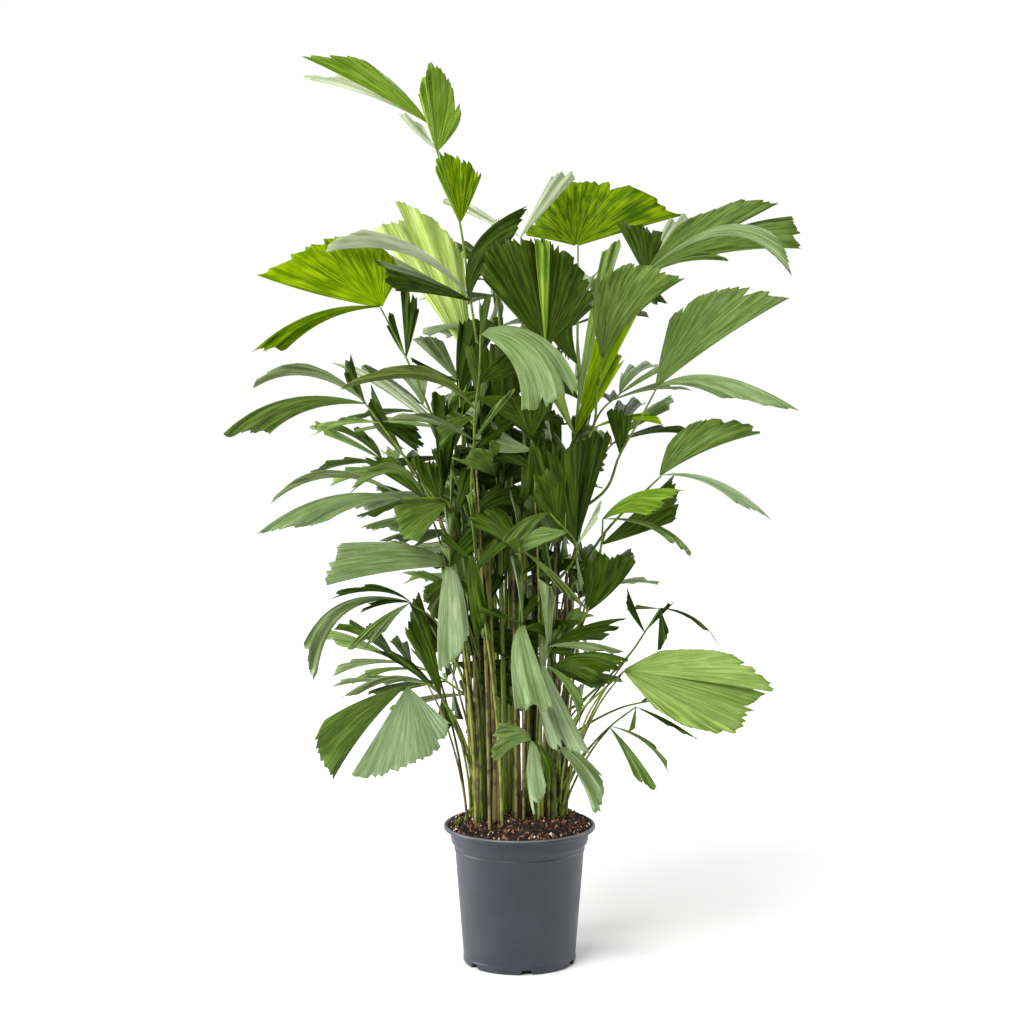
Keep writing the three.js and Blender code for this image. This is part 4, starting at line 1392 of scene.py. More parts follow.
@dataclass
class Crown:
    """All the fronds: a piece for each leaf colour (two for the dark), one of leaf stalks, four of lower stalks."""

    stalk_step: float = 12.0
    stalk_sides: int = 8
    fronds_per_companion: int = 3
    more_pairs: int = 2
    far_roll_deg: float = 55.0
    far_roll_share: tuple[float, float] = (0.4, 1.0)
    right_heading: float = 90.0
    core_sides: tuple[float, float] = (-130.0, 105.0)
    core_heights: tuple[float, float] = (480.0, 960.0)
    inner_steps: tuple[float, ...] = (0.4, 0.8)
    inner_length: tuple[float, float] = (80.0, 135.0)
    inner_turn: tuple[float, float] = (0.1, 0.75)
    inner_spread_deg: tuple[float, float] = (20.0, 40.0)
    inner_short: tuple[float, float] = (0.65, 0.9)
    inner_arch: tuple[float, float] = (-14.0, 14.0)
    inner_outward: float = 0.45
    inner_tones: str = "DDFDDMDDGD"
    near_away: tuple[float, float] = (5.0, 45.0)
    near_roll_deg: float = 25.0
    far_away: tuple[float, float] = (30.0, 110.0)
    far_inner_roll_deg: float = 60.0
    core_stations: tuple[float, ...] = (0.4, 0.75)
    side_stations: tuple[float, ...] = (0.25, 0.45, 0.65, 0.85)
    side_slope_deg: tuple[float, float] = (8.0, 55.0)
    side_length: tuple[float, float] = (110.0, 175.0)
    side_spread_deg: tuple[float, float] = (24.0, 40.0)
    side_short: tuple[float, float] = (0.55, 0.85)
    side_arch: tuple[float, float] = (4.0, 16.0)
    least_side_length: float = 60.0
    side_roll_deg: float = 12.0
    side_tones: str = "DFMDBFGDM"
    side_depth: float = 470.0

    def front_fronds(self) -> list[Frond]:
        """Grows the fronds that show from the front.

        Returns:
            The fronds, in the order of their rows.
        """
        fronds = []
        for number, (name, (stem, start, points, leaflets)) in enumerate(FRONT_FRONDS.items()):
            row = STEMS[stem - 1]
            places = np.array([stem_at(row, start), *(sighted(*point) for point in points)])
            blades = []
            first = SEEDS_APART * number
            for k, (point, across, depth, up, *shape, tone) in enumerate(leaflets):
                tip = sighted(across, depth, up)
                full = FULL_LEAF if tone.islower() else NARROW_LEAF
                blade = Blade(places[point], tip, False, *shape, seed=first + k, fullness=full)
                blades.append((Tone(tone.upper()), blade))
            blades += self.inner_blades(places, INNER_SEED + first, self.near_away, self.near_roll_deg)
            core = [share for share in self.core_stations if self.inside_core(point_on(places, share))]
            blades += self.side_blades(places, SIDE_SEED + first, tuple(core))
            fronds.append(Frond(f"frond_{name}", row, places, blades))
        return fronds

    def inside_core(self, joint: np.ndarray) -> bool:
        """Tells whether a joint is in the dense middle of the crown.

        Args:
            joint: The joint.

        Returns:
            Whether it is.
        """
        left, right = self.core_sides
        low, high = self.core_heights
        return bool(left < joint[0] < right and low < joint[2] < high)

    def inner_blades(
        self, places: np.ndarray, seed: int, away: tuple[float, float], roll_deg: float
    ) -> list[tuple[Tone, Blade]]:
        """Grows the shaded leaflets that a frond carries between its joints inside the crown.

        Args:
            places: The places that the frond's stalk runs through.
            seed: The seed of the leaflets.
            away: The least and the most that a leaflet reaches backwards, in millimetres.
            roll_deg: The most that a leaflet turns about its own length.

        Returns:
            The leaflets, each with its colour.
        """
        dice = np.random.default_rng(seed)
        blades: list[tuple[Tone, Blade]] = []
        for k in range(len(places) - 1):
            for step in self.inner_steps:
                joint = point_on(places, (k + step) / (len(places) - 1))
                if not self.inside_core(joint):
                    continue
                hand = 1.0 if dice.random() < 0.5 else -1.0
                angle = dice.uniform(*self.inner_turn) * math.pi * hand
                length = dice.uniform(*self.inner_length)
                reach = np.array((length * math.sin(angle), dice.uniform(*away), length * math.cos(angle)))
                # Those that point out of the crown stay short, so that its outline is left to the drawn leaflets
                reach[0] *= 1.0 if joint[0] * reach[0] < 0 else self.inner_outward
                tone = Tone(self.inner_tones[int(dice.integers(len(self.inner_tones)))])
                spread = hand * dice.uniform(*self.inner_spread_deg)
                shape = (spread, dice.uniform(*self.inner_short), dice.uniform(*self.inner_arch), MID_CREST)
                roll = dice.uniform(-roll_deg, roll_deg)
                number = seed + len(blades)
                blades.append((tone, Blade(joint, joint + reach, False, *shape, seed=number, roll_deg=roll)))
        return blades

    def side_blades(self, places: np.ndarray, seed: int, stations: tuple[float, ...]) -> list[tuple[Tone, Blade]]:
        """Grows leaflets that stand edge-on to the front, so that the crown is as full from its sides.

        Args:
            places: The places that the frond's stalk runs through.
            seed: The seed of the leaflets.
            stations: The shares of the stalk at which pairs of them grow.

        Returns:
            The leaflets, each with its colour.
        """
        dice = np.random.default_rng(seed)
        blades: list[tuple[Tone, Blade]] = []
        left, right = self.core_sides
        for station in stations:
            joint = point_on(places, station)
            for side in (1.0, -1.0):
                slope = math.radians(side * dice.uniform(*self.side_slope_deg))
                length = min(dice.uniform(*self.side_length), (self.side_depth - joint[1]) / math.cos(slope))
                way = np.array((0.0, math.cos(slope), math.sin(slope)))
                spread = side * dice.uniform(*self.side_spread_deg)
                shape = (spread, dice.uniform(*self.side_short), dice.uniform(*self.side_arch), MID_CREST)
                tone = Tone(self.side_tones[int(dice.integers(len(self.side_tones)))])
                roll = 90 + dice.uniform(-self.side_roll_deg, self.side_roll_deg)
                if length > self.least_side_length and left < joint[0] < right:
                    blade = Blade(joint, joint + way * length, True, *shape, seed=seed + len(blades), roll_deg=roll)
                    blades.append((tone, blade))
        return blades

    def far_frond(self, number: int, row: Row) -> Frond:
        """Grows a frond of the far side, with finer pairs of leaflets than its solid has.

        Args:
            number: Its place among the far rows.
            row: Its row.

        Returns:
            The frond.
        """
        stem, start, heading, reach, climb, size, pairs = row
        foot = stem_at(STEMS[int(stem) - 1], start)
        ahead = math.radians(heading)
        shares = np.linspace(0, 1, FAR_STEPS + 1)
        outward = reach * shares
        arc = (outward * math.cos(ahead), outward * math.sin(ahead), climb * shares * (2 - shares))
        places = foot + np.stack(arc, axis=-1)
        spread, *shape = FAR_SHAPE
        blades: list[tuple[Tone, Blade]] = []
        dice = np.random.default_rng(FAR_SEED + number)

        def pair(
            joint: np.ndarray, turn: float, length: float, rises: tuple[float, float], hand: float, roll_deg: float
        ) -> None:
            """Adds a pair of leaflets at one joint.

            Args:
                joint: The joint.
                turn: The angle of each from the stalk's heading, in degrees.
                length: The length of each.
                rises: How steeply the first and the second climb.
                hand: The way that their fans open: 1 for outwards, -1 for inwards.
                roll_deg: The most that they turn about their own length.
            """
            for side, rise in zip((1.0, -1.0), rises):
                angle = ahead + math.radians(side * turn)
                way = unit(np.array((math.cos(angle), math.sin(angle), rise)))
                k = len(blades)
                tone = Tone(FAR_TONES[(3 * number + k) % len(FAR_TONES)])
                seed = FAR_LEAFLET_SEED + FAR_LEAFLETS_APART * number + k
                roll = side * dice.uniform(*self.far_roll_share) * roll_deg
                fan = (side * hand * spread, *shape)
                blades.append((tone, Blade(joint, joint + way * length, True, *fan, seed=seed, roll_deg=roll)))

        pair(places[-1], FAR_TIP_HEADING, size, (FAR_TIP_RISE, FAR_TIP_RISE), 1.0, 0.0)
        extra = self.more_pairs if heading > self.right_heading else 0
        for k in range(1, int(pairs) + extra + 1):
            joint = point_on(places, 1 - k / (2 * FAR_STEPS))
            turn = FAR_PAIR_HEADING + FAR_PAIR_TURN * k / 2
            roll = 0.0 if k <= pairs else self.far_roll_deg
            pair(joint, turn, size * FAR_PAIR_SIZE, (-FAR_PAIR_RISE, FAR_PAIR_RISE), -1.0, roll)
        first = SEEDS_APART * number
        blades += self.inner_blades(places, FAR_INNER_SEED + first, self.far_away, self.far_inner_roll_deg)
        blades += self.side_blades(places, FAR_SIDE_SEED + first, self.side_stations)
        return Frond(f"frond_far_{number + 1:02d}", STEMS[int(stem) - 1], places, blades)

    def build(self) -> list[bpy.types.Object]:
        """Builds the crown's pieces.

        Returns:
            The pieces, riding on the root and standing for their nodes.
        """
        near = self.front_fronds()
        far = [self.far_frond(k, row) for k, row in enumerate(FAR_FRONDS)]
        fronds = near + far
        pieces = []
        for tone in Tone:
            skins = [UPPER[tone].material(), LOWER[tone].material()]
            # The dark leaflets are the most by far, so those of the far fronds are a piece of their own
            groups = {"": near, "_far": far} if tone is Tone.DARK else {"": fronds}
            for suffix, group in groups.items():
                shell = Shell()
                nodes = set()
                for frond in group:
                    for blade in (blade for blade_tone, blade in frond.blades if blade_tone is tone):
                        blade.grow(shell)
                        nodes.add(frond.name)
                piece = shell.build(f"leaflets_{tone.name.lower()}{suffix}", skins)
                pieces.append(kept(piece, sorted(nodes)))
        sweep = StalkTree(self.stalk_sides)
        lines = [frond.stalk(self.stalk_step) for frond in fronds]
        stalks = sweep.along(lines, "leaf_stalks", StalkFinish().material())
        pieces.append(kept(stalks, [frond.name for frond in fronds]))
        lower = [frond.sheath(self.stalk_step, SHEATH_SEED + k) for k, frond in enumerate(fronds)]
        lower += [
            frond.companion(self.stalk_step, COMPANION_SEED + k)
            for k, frond in enumerate(fronds)
            if k % self.fronds_per_companion == 0
        ]
        for frond in fronds:
            for rank in range(OUTER_STALKS.get(frond.name, 0)):
                seed = OUTER_SEED + OUTER_SEEDS_APART * rank + len(lower)
                lower.append(frond.companion(self.stalk_step, seed, rank))
        for k, finish in enumerate(SHEATH_FINISHES):
            piece = sweep.along(lower[k :: len(SHEATH_FINISHES)], f"sheathed_stalks_{k + 1}", finish.material())
            pieces.append(kept(piece, []))
        return pieces


def kept(piece: bpy.types.Object, nodes: list[str]) -> bpy.types.Object:
    """Ties a piece to the part: it rides on the root and stands for nodes.

    Args:
        piece: The piece.
        nodes: The nodes that it stands for, if any.

    Returns:
        The piece.
    """
    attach(piece, "root")
    if nodes:
        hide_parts(*nodes)
    LOG.info("%s: %d faces", piece.name, len(piece.data.polygons))
    return piece


def applied(host: bpy.types.Object, modifier: bpy.types.Modifier) -> bpy.types.Mesh:
    """Keeps what a modifier makes of an object as its plain mesh.

    Args:
        host: The object.
        modifier: Its one modifier, which comes off.

    Returns:
        The object's new mesh.
    """
    depsgraph = bpy.context.evaluated_depsgraph_get()
    mesh = bpy.data.meshes.new_from_object(host.evaluated_get(depsgraph), depsgraph=depsgraph)
    host.modifiers.remove(modifier)
    host.data = mesh
    return mesh


def new_group(name: str, inputs: dict[str, str], output: str) -> bpy.types.NodeTree:
    """Makes an empty Geometry Nodes group.

    Args:
        name: The group's name.
        inputs: The kind of each input, by its name.
        output: The name of its one geometry output.

    Returns:
        The group.
    """
    tree = bpy.data.node_groups.new(name, "GeometryNodeTree")
    for label, kind in inputs.items():
        tree.interface.new_socket(label, in_out="INPUT", socket_type=f"NodeSocket{kind}")
    tree.interface.new_socket(output, in_out="OUTPUT", socket_type="NodeSocketGeometry")
    return tree


def finished(tree: bpy.types.NodeTree, made: bpy.types.NodeSocket, skin: bpy.types.NodeSocket) -> None:
    """Ends a node group: its result becomes real mesh and takes its material.

    Args:
        tree: The group.
        made: The result's socket.
        skin: The material's socket.
    """
    plain = add_node(tree, "GeometryNodeRealizeInstances", inputs={0: made})
    skinned = add_node(tree, "GeometryNodeSetMaterial", inputs={0: plain.outputs[0], "Material": skin})
    add_node(tree, "NodeGroupOutput", inputs={0: skinned.outputs[0]})


def realized(host: bpy.types.Object, tree: bpy.types.NodeTree, values: dict[str, object]) -> bpy.types.Object:
    """Runs a node tree on an object and keeps its result as a plain mesh.

    Args:
        host: The object that carries the modifier.
        tree: The node tree.
        values: The values of the tree's inputs, by name.

    Returns:
        The same object, with the result for its mesh and without the modifier.
    """
    modifier = host.modifiers.new("grow", "NODES")
    modifier.node_group = tree
    for item in tree.interface.items_tree:
        if item.item_type == "SOCKET" and item.in_out == "INPUT" and item.name in values:
            modifier[item.identifier] = values[item.name]
    applied(host, modifier)
    return host


@dataclass
class StalkTree:
    """Geometry Nodes that sweep a round profile along lines whose radius changes."""

    sides: int = 8

    def tree(self) -> bpy.types.NodeTree:
        """Builds the node tree.

        Returns:
            The tree.
        """
        tree = new_group("swept_stalks", {"Lines": "Geometry", "Sides": "Int", "Skin": "Material"}, "Stalks")
        given = add_node(tree, "NodeGroupInput").outputs
        curve = add_node(tree, "GeometryNodeMeshToCurve", inputs={0: given["Lines"]})
        radius = add_node(tree, "GeometryNodeInputNamedAttribute", {"data_type": "FLOAT"}, {"Name": "half_width"})
        circle = {"Resolution": given["Sides"], "Radius": 1.0}
        profile = add_node(tree, "GeometryNodeCurvePrimitiveCircle", inputs=circle)
        sweep = {"Curve": curve.outputs[0], "Profile Curve": profile.outputs[0], "Scale": radius.outputs[0]}
        swept = add_node(tree, "GeometryNodeCurveToMesh", inputs=sweep | {"Fill Caps": True})
        smooth = add_node(tree, "GeometryNodeSetShadeSmooth", inputs={0: swept.outputs[0], "Shade Smooth": True})
        finished(tree, smooth.outputs[0], given["Skin"])
        return tree

    def along(
        self, lines: list[tuple[np.ndarray, np.ndarray]], name: str, material: bpy.types.Material
    ) -> bpy.types.Object:
        """Sweeps stalks along lines.

        Args:
            lines: Points and radii of each line, in millimetres.
            name: The piece's name.
            material: Its material.

        Returns:
            The piece.
        """
        points = np.concatenate([line for line, _ in lines]) * MM
        radii = np.concatenate([radius for _, radius in lines]) * MM
        edges = []
        first = 0
        for line, _ in lines:
            edges += [(first + k, first + k + 1) for k in range(len(line) - 1)]
            first += len(line)
        mesh = new_mesh(name, points.tolist(), [], edges)
        mesh.attributes.new("half_width", "FLOAT", "POINT").data.foreach_set("value", radii)
        return realized(placed(name, mesh), self.tree(), {"Sides": self.sides, "Skin": material})


CANE_FINISHES = {
    "green": CaneFinish("palm_cane_green_skin", "#65762a", "#8c9c3e", "#4a3f26", 0.38),
    "bright": CaneFinish("palm_cane_young_skin", "#8a9f34", "#aeba4c", "#5f5530", 0.25),
    "tan": CaneFinish("palm_cane_dry_bark", "#7c7240", "#a39360", "#4a3c26", 0.42),
    "brown": CaneFinish("palm_cane_fibre_coat", "#5e5430", "#7c7244", "#3e3320", 0.6),
}
# The look of each stem in turn: green, bright, tan or brown
CANE_LOOKS = (
    "green", "green", "tan", "brown", "green", "brown", "green", "bright",
    "brown", "green", "brown", "green", "brown", "green", "brown",
)


@dataclass
class CaneClump:
    """The stems: slender canes with ring scars and the edges of old sheaths."""

    sides: int = 20
    step: float = 5.0
    rings: int = 14
    ring_spacing: float = 62.0
    ring_chance: tuple[float, float] = (0.6, 1.4)
    ring_drop: float = 30.0
    ring_height: float = 0.7
    ring_width: float = 3.5
    swell_share: float = 0.25
    groove_depth: float = 0.5
    groove_place: float = 1.6
    sheath_relief: float = 0.05
    sheath_turn: float = 0.004
    sunk: float = 8.0
    tip_taper: float = 22.0
    tip_left: float = 0.004
    slimness: float = 0.8

    def cane(self, row: Row, seed: int, shell: Shell) -> None:
        """Adds one cane to a piece.

        Args:
            row: The stem's row.
            seed: The seed of its relief.
            shell: The piece.
        """
        dice = np.random.default_rng(seed)
        top_z, foot_radius, top_radius = row[4:7]
        reach = top_z - SOIL_TOP
        share = np.linspace(0, 1, round(reach / self.step))
        line = stem_point(row, share)
        line = np.vstack((line[:1] - np.array((0, 0, self.sunk)), line))
        height = np.concatenate(((-self.sunk,), share * reach))
        radius = self.slimness * np.interp(height, (0, reach), (foot_radius, top_radius))
        radius *= np.interp(height, (0, self.swell_share * reach), (FOOT_SWELL, 1.0))
        # Each scar is a raised ring with a groove over it
        rings = np.cumsum(dice.uniform(*self.ring_chance, self.rings)) * self.ring_spacing - self.ring_drop
        for ring in rings:
            away = (height - ring) / self.ring_width
            groove = self.groove_depth * np.exp(-((away - self.groove_place) ** 2))
            radius += self.ring_height * np.exp(-(away**2)) - groove
        radius *= np.sqrt(np.clip((reach - height) / self.tip_taper, self.tip_left, 1))
        tangent = unit(np.gradient(line, axis=0))
        side = unit(np.cross(tangent, np.array((0.0, 1.0, 0.0))))
        other = np.cross(tangent, side)
        turn = np.linspace(0, math.tau, self.sides, endpoint=False)
        twist = dice.uniform(0, math.tau) + height[:, None] * self.sheath_turn
        # Old sheaths leave a skin that is two-lobed and five-ribbed and winds up the cane
        relief = 1 + self.sheath_relief * (np.sin(2 * turn + twist) + 0.6 * np.sin(5 * turn - 1.7 * twist))
        spoke = side[:, None] * np.cos(turn)[None, :, None] + other[:, None] * np.sin(turn)[None, :, None]
        skin = line[:, None] + spoke * (radius[:, None] * relief)[..., None]
        index = np.arange(skin.shape[0] * self.sides).reshape(skin.shape[0], self.sides)
        walls = ring_walls(index)
        fan = np.stack(np.meshgrid(height, turn, indexing="ij"), axis=-1).reshape(-1, 2)
        first = shell.count
        shell.add(skin.reshape(-1, 3), walls, np.zeros(len(walls), dtype=int), fan)
        shell.faces.append(tuple((index[0, ::-1] + first).tolist()))
        shell.faces.append(tuple((index[-1] + first).tolist()))
        shell.slots += [0, 0]

    def build(self) -> list[bpy.types.Object]:
        """Builds the canes, one piece for each look.

        Returns:
            The pieces.
        """
        pieces = []
        for look, finish in CANE_FINISHES.items():
            shell = Shell()
            nodes = []
            for k, row in enumerate(STEMS):
                if CANE_LOOKS[k] == look:
                    self.cane(row, CANE_SEED + k, shell)
                    nodes.append(f"stem_{k + 1:02d}")
            pieces.append(kept(shell.build(f"canes_{look}", [finish.material()]), nodes))
        return pieces


@dataclass
class GrowersPot:
    """The pot: a lipped rim over a plain band, a shoulder and a tapering wall on a notched foot."""

    rim_radius: float = 120.0
    height: float = 223.0
    band_radius: float = 110.0
    band_height: float = 27.0
    shoulder_radius: float = 103.5
    foot_radius: float = 89.0
    wall: float = 2.0
    floor: float = 10.5
    foot_disc_radius: float = 62.0
    channel_depth: float = 4.5
    notches: int = 6
    notch_width: float = 19.0
    notch_depth: float = 8.5
    notch_reach: tuple[float, float] = (-9.0, 5.0)
    notch_flare: tuple[float, float] = (5.0, -3.0)
    first_notch_deg: float = 7.0
    segments: int = 180
    corner: float = 1.1
    # The band of painted highlight on the rim's outer top corner: its height and width
    highlight_band_height: float = 2.4
    highlight_band_width: float = 2.6
    sharp_deg: float = 38.0

    def profile(self) -> list[tuple[float, float]]:
        """Gives the wall's section, from the foot's hollow up the outside and down the inside.

        Returns:
            The radius and the height of each corner.
        """
        band_foot = self.height - self.band_height
        return [
            (self.foot_disc_radius, 0),
            (self.foot_disc_radius + 1, self.channel_depth),
            (self.foot_radius - 8, self.channel_depth),
            (self.foot_radius - 7, 0),
            (self.foot_radius - 1.5, 0),
            (self.foot_radius + 0.4, 3.5),
            (self.foot_radius + 0.6, 11),
            (self.foot_radius + 0.1, 12.5),
            (self.shoulder_radius - 1.4, band_foot - 15),
            (self.shoulder_radius, band_foot - 13.5),
            (self.shoulder_radius + 0.2, band_foot - 11.5),
            (self.shoulder_radius - 0.6, band_foot - 10),
            (self.shoulder_radius + 0.6, band_foot - 6),
            (self.band_radius - 2.6, band_foot - 1.5),
            (self.band_radius - 1.5, band_foot + 2),
            (self.band_radius, self.height - 10.5),
            (self.band_radius + 1.5, self.height - 9),
            (self.rim_radius - 2.5, self.height - 8),
            (self.rim_radius, self.height - 6),
            (self.rim_radius, self.height - 2.2),
            (self.rim_radius - 2.2, self.height),
            (self.rim_radius - 5, self.height - 0.4),
            (self.band_radius - self.wall + 1, self.height - 7),
            (self.band_radius - self.wall, self.height - 11),
            (self.band_radius - 1.5 - self.wall, band_foot + 2),
            (self.shoulder_radius - self.wall, band_foot - 8),
            (self.foot_radius - self.wall, self.floor),
        ]

    def rounded(self, profile: list[tuple[float, float]]) -> list[tuple[float, float]]:
        """Rounds each corner of a section.

        Args:
            profile: The section.

        Returns:
            The section with three points for each corner.
        """
        # A corner is cut by at most 0.4 of its legs, and its middle lies half-way between the corner and the cut
        rounded = [profile[0]]
        for before, here, after in zip(profile, profile[1:], profile[2:]):
            corner = Vector(here)
            legs = [Vector(before) - corner, Vector(after) - corner]
            cut = min(self.corner, 0.4 * legs[0].length, 0.4 * legs[1].length)
            ends = [corner + leg.normalized() * cut for leg in legs]
            middle = corner * 0.5 + (ends[0] + ends[1]) * 0.25
            rounded += [tuple(ends[0]), tuple(middle), tuple(ends[1])]
        rounded.append(profile[-1])
        return rounded

    def shell(self) -> bpy.types.Object:
        """Turns the section about the pot's axis as a closed shell.

        Returns:
            The pot before its notches are cut.
        """
        section = self.rounded(self.profile())
        turn = np.linspace(0, math.tau, self.segments, endpoint=False)
        around = np.stack((np.cos(turn), np.sin(turn)), axis=-1)
        points = [np.column_stack((around * radius, np.full(self.segments, z))) for radius, z in section]
        grid = np.arange(len(section) * self.segments).reshape(len(section), self.segments)
        after = np.roll(grid, -1, axis=1)
        faces = ring_walls(grid).tolist()
        # The middles of the underside and of the floor come last
        faces += [[grid.size, last, first] for first, last in zip(grid[0].tolist(), after[0].tolist())]
        faces += [[grid.size + 1, first, last] for first, last in zip(grid[-1].tolist(), after[-1].tolist())]
        vertices = np.concatenate((*points, ((0, 0, 0), (0, 0, self.floor)))) * MM
        return placed("growers_pot", new_mesh("growers_pot", vertices.tolist(), faces))

    def cutters(self) -> bpy.types.Object:
        """Makes the blocks that cut the foot's notches.

        Returns:
            The blocks, as one object.
        """
        vertices, faces = [], []
        inner, outer = self.notch_reach
        box = ((0, 3, 2, 1), (4, 5, 6, 7), (0, 1, 5, 4), (1, 2, 6, 5), (2, 3, 7, 6), (3, 0, 4, 7))
        for k in range(self.notches):
            angle = math.radians(self.first_notch_deg - 90 + k * 360 / self.notches)
            turned = Matrix.Rotation(angle, 3, "Z")
            first = len(vertices)
            # A notch narrows from the floor up
            for z, flare in zip((-self.notch_depth, self.notch_depth), self.notch_flare):
                half = self.notch_width / 2 + flare
                for x, y in ((inner, -half), (outer, -half), (outer, half), (inner, half)):
                    vertices.append(turned @ Vector((self.foot_radius + x, y, z)) * MM)
            faces += [tuple(first + i for i in face) for face in box]
        return placed("notch_cutters", new_mesh("notch_cutters", vertices, faces))

    def build(self) -> bpy.types.Object:
        """Builds the pot.

        Returns:
            The piece.
        """
        pot, cutters = self.shell(), self.cutters()
        cut = pot.modifiers.new("notches", "BOOLEAN")
        cut.operation = "DIFFERENCE"
        cut.solver = "EXACT"
        cut.object = cutters
        mesh = applied(pot, cut)
        bpy.data.objects.remove(cutters)
        mesh.materials.clear()
        mesh.materials.append(MouldedPlasticFinish().material())
        # Painted highlight: a lighter grey band on the rim's outer top corner, where it catches the light
        mesh.materials.append(MouldedPlasticFinish("polypropylene_rubbed_edge", "#5c5f66", "#75787e").material())
        for face in mesh.polygons:
            radius = math.hypot(face.center.x, face.center.y) / MM
            if face.center.z / MM > self.height - self.highlight_band_height and radius > self.rim_radius - self.highlight_band_width:
                face.material_index = 1
        smoothed(mesh)
        mesh.set_sharp_from_angle(angle=math.radians(self.sharp_deg))
        return kept(pot, ["pot"])


@dataclass
class CrumbTree:
    """Geometry Nodes that scatter torn crumbs over a surface."""

    def tree(self) -> bpy.types.NodeTree:
        """Builds the node tree.

        Returns:
            The tree.
        """
        sizes = {name: "Float" for name in ("Density", "Smallest", "Largest", "Flatness")}
        inputs = {"Bed": "Geometry", **sizes, "Seed": "Int", "Stuff": "Material"}
        tree = new_group("scattered_crumbs", inputs, "Crumbs")
        given = add_node(tree, "NodeGroupInput").outputs
        spread = {0: given["Bed"], "Density": given["Density"], "Seed": given["Seed"]}
        bed = add_node(tree, "GeometryNodeDistributePointsOnFaces", inputs=spread)
        ball = add_node(tree, "GeometryNodeMeshIcoSphere", inputs={"Radius": 1.0, "Subdivisions": 2})
        dent = add_node(tree, "ShaderNodeTexNoise", {"noise_dimensions": "3D"}, {"Scale": 1.3, "Detail": 2.0})
        middle = {0: dent.outputs["Color"], 1: (0.5, 0.5, 0.5)}
        low = add_node(tree, "ShaderNodeVectorMath", {"operation": "SUBTRACT"}, middle)
        shift = add_node(tree, "ShaderNodeVectorMath", {"operation": "SCALE"}, {0: low.outputs[0], "Scale": 1.9})
        torn = add_node(tree, "GeometryNodeSetPosition", inputs={0: ball.outputs[0], "Offset": shift.outputs[0]})
        turns = {0: (0.0, 0.0, 0.0), 1: (math.tau, math.tau, math.tau), "Seed": given["Seed"]}
        turn = add_node(tree, "FunctionNodeRandomValue", {"data_type": "FLOAT_VECTOR"}, turns)
        ends = {2: given["Smallest"], 3: given["Largest"], "Seed": given["Seed"]}
        size = add_node(tree, "FunctionNodeRandomValue", {"data_type": "FLOAT"}, ends)
        flat = times(tree, size.outputs[1], given["Flatness"])
        scale = add_node(tree, "ShaderNodeCombineXYZ", inputs={0: size.outputs[1], 1: flat, 2: flat})
        crumb = {"Instance": torn.outputs[0], "Rotation": turn.outputs[0], "Scale": scale.outputs[0]}
        strewn = add_node(tree, "GeometryNodeInstanceOnPoints", inputs={0: bed.outputs[0], **crumb})
        finished(tree, strewn.outputs[0], given["Stuff"])
        return tree


@dataclass(frozen=True)
class Crumbs:
    """One kind of crumb in the potting mix: how many, how large and of what."""

    name: str
    finish: CrumbFinish
    per_square_metre: float
    smallest: float
    largest: float
    flatness: float
    seed: int


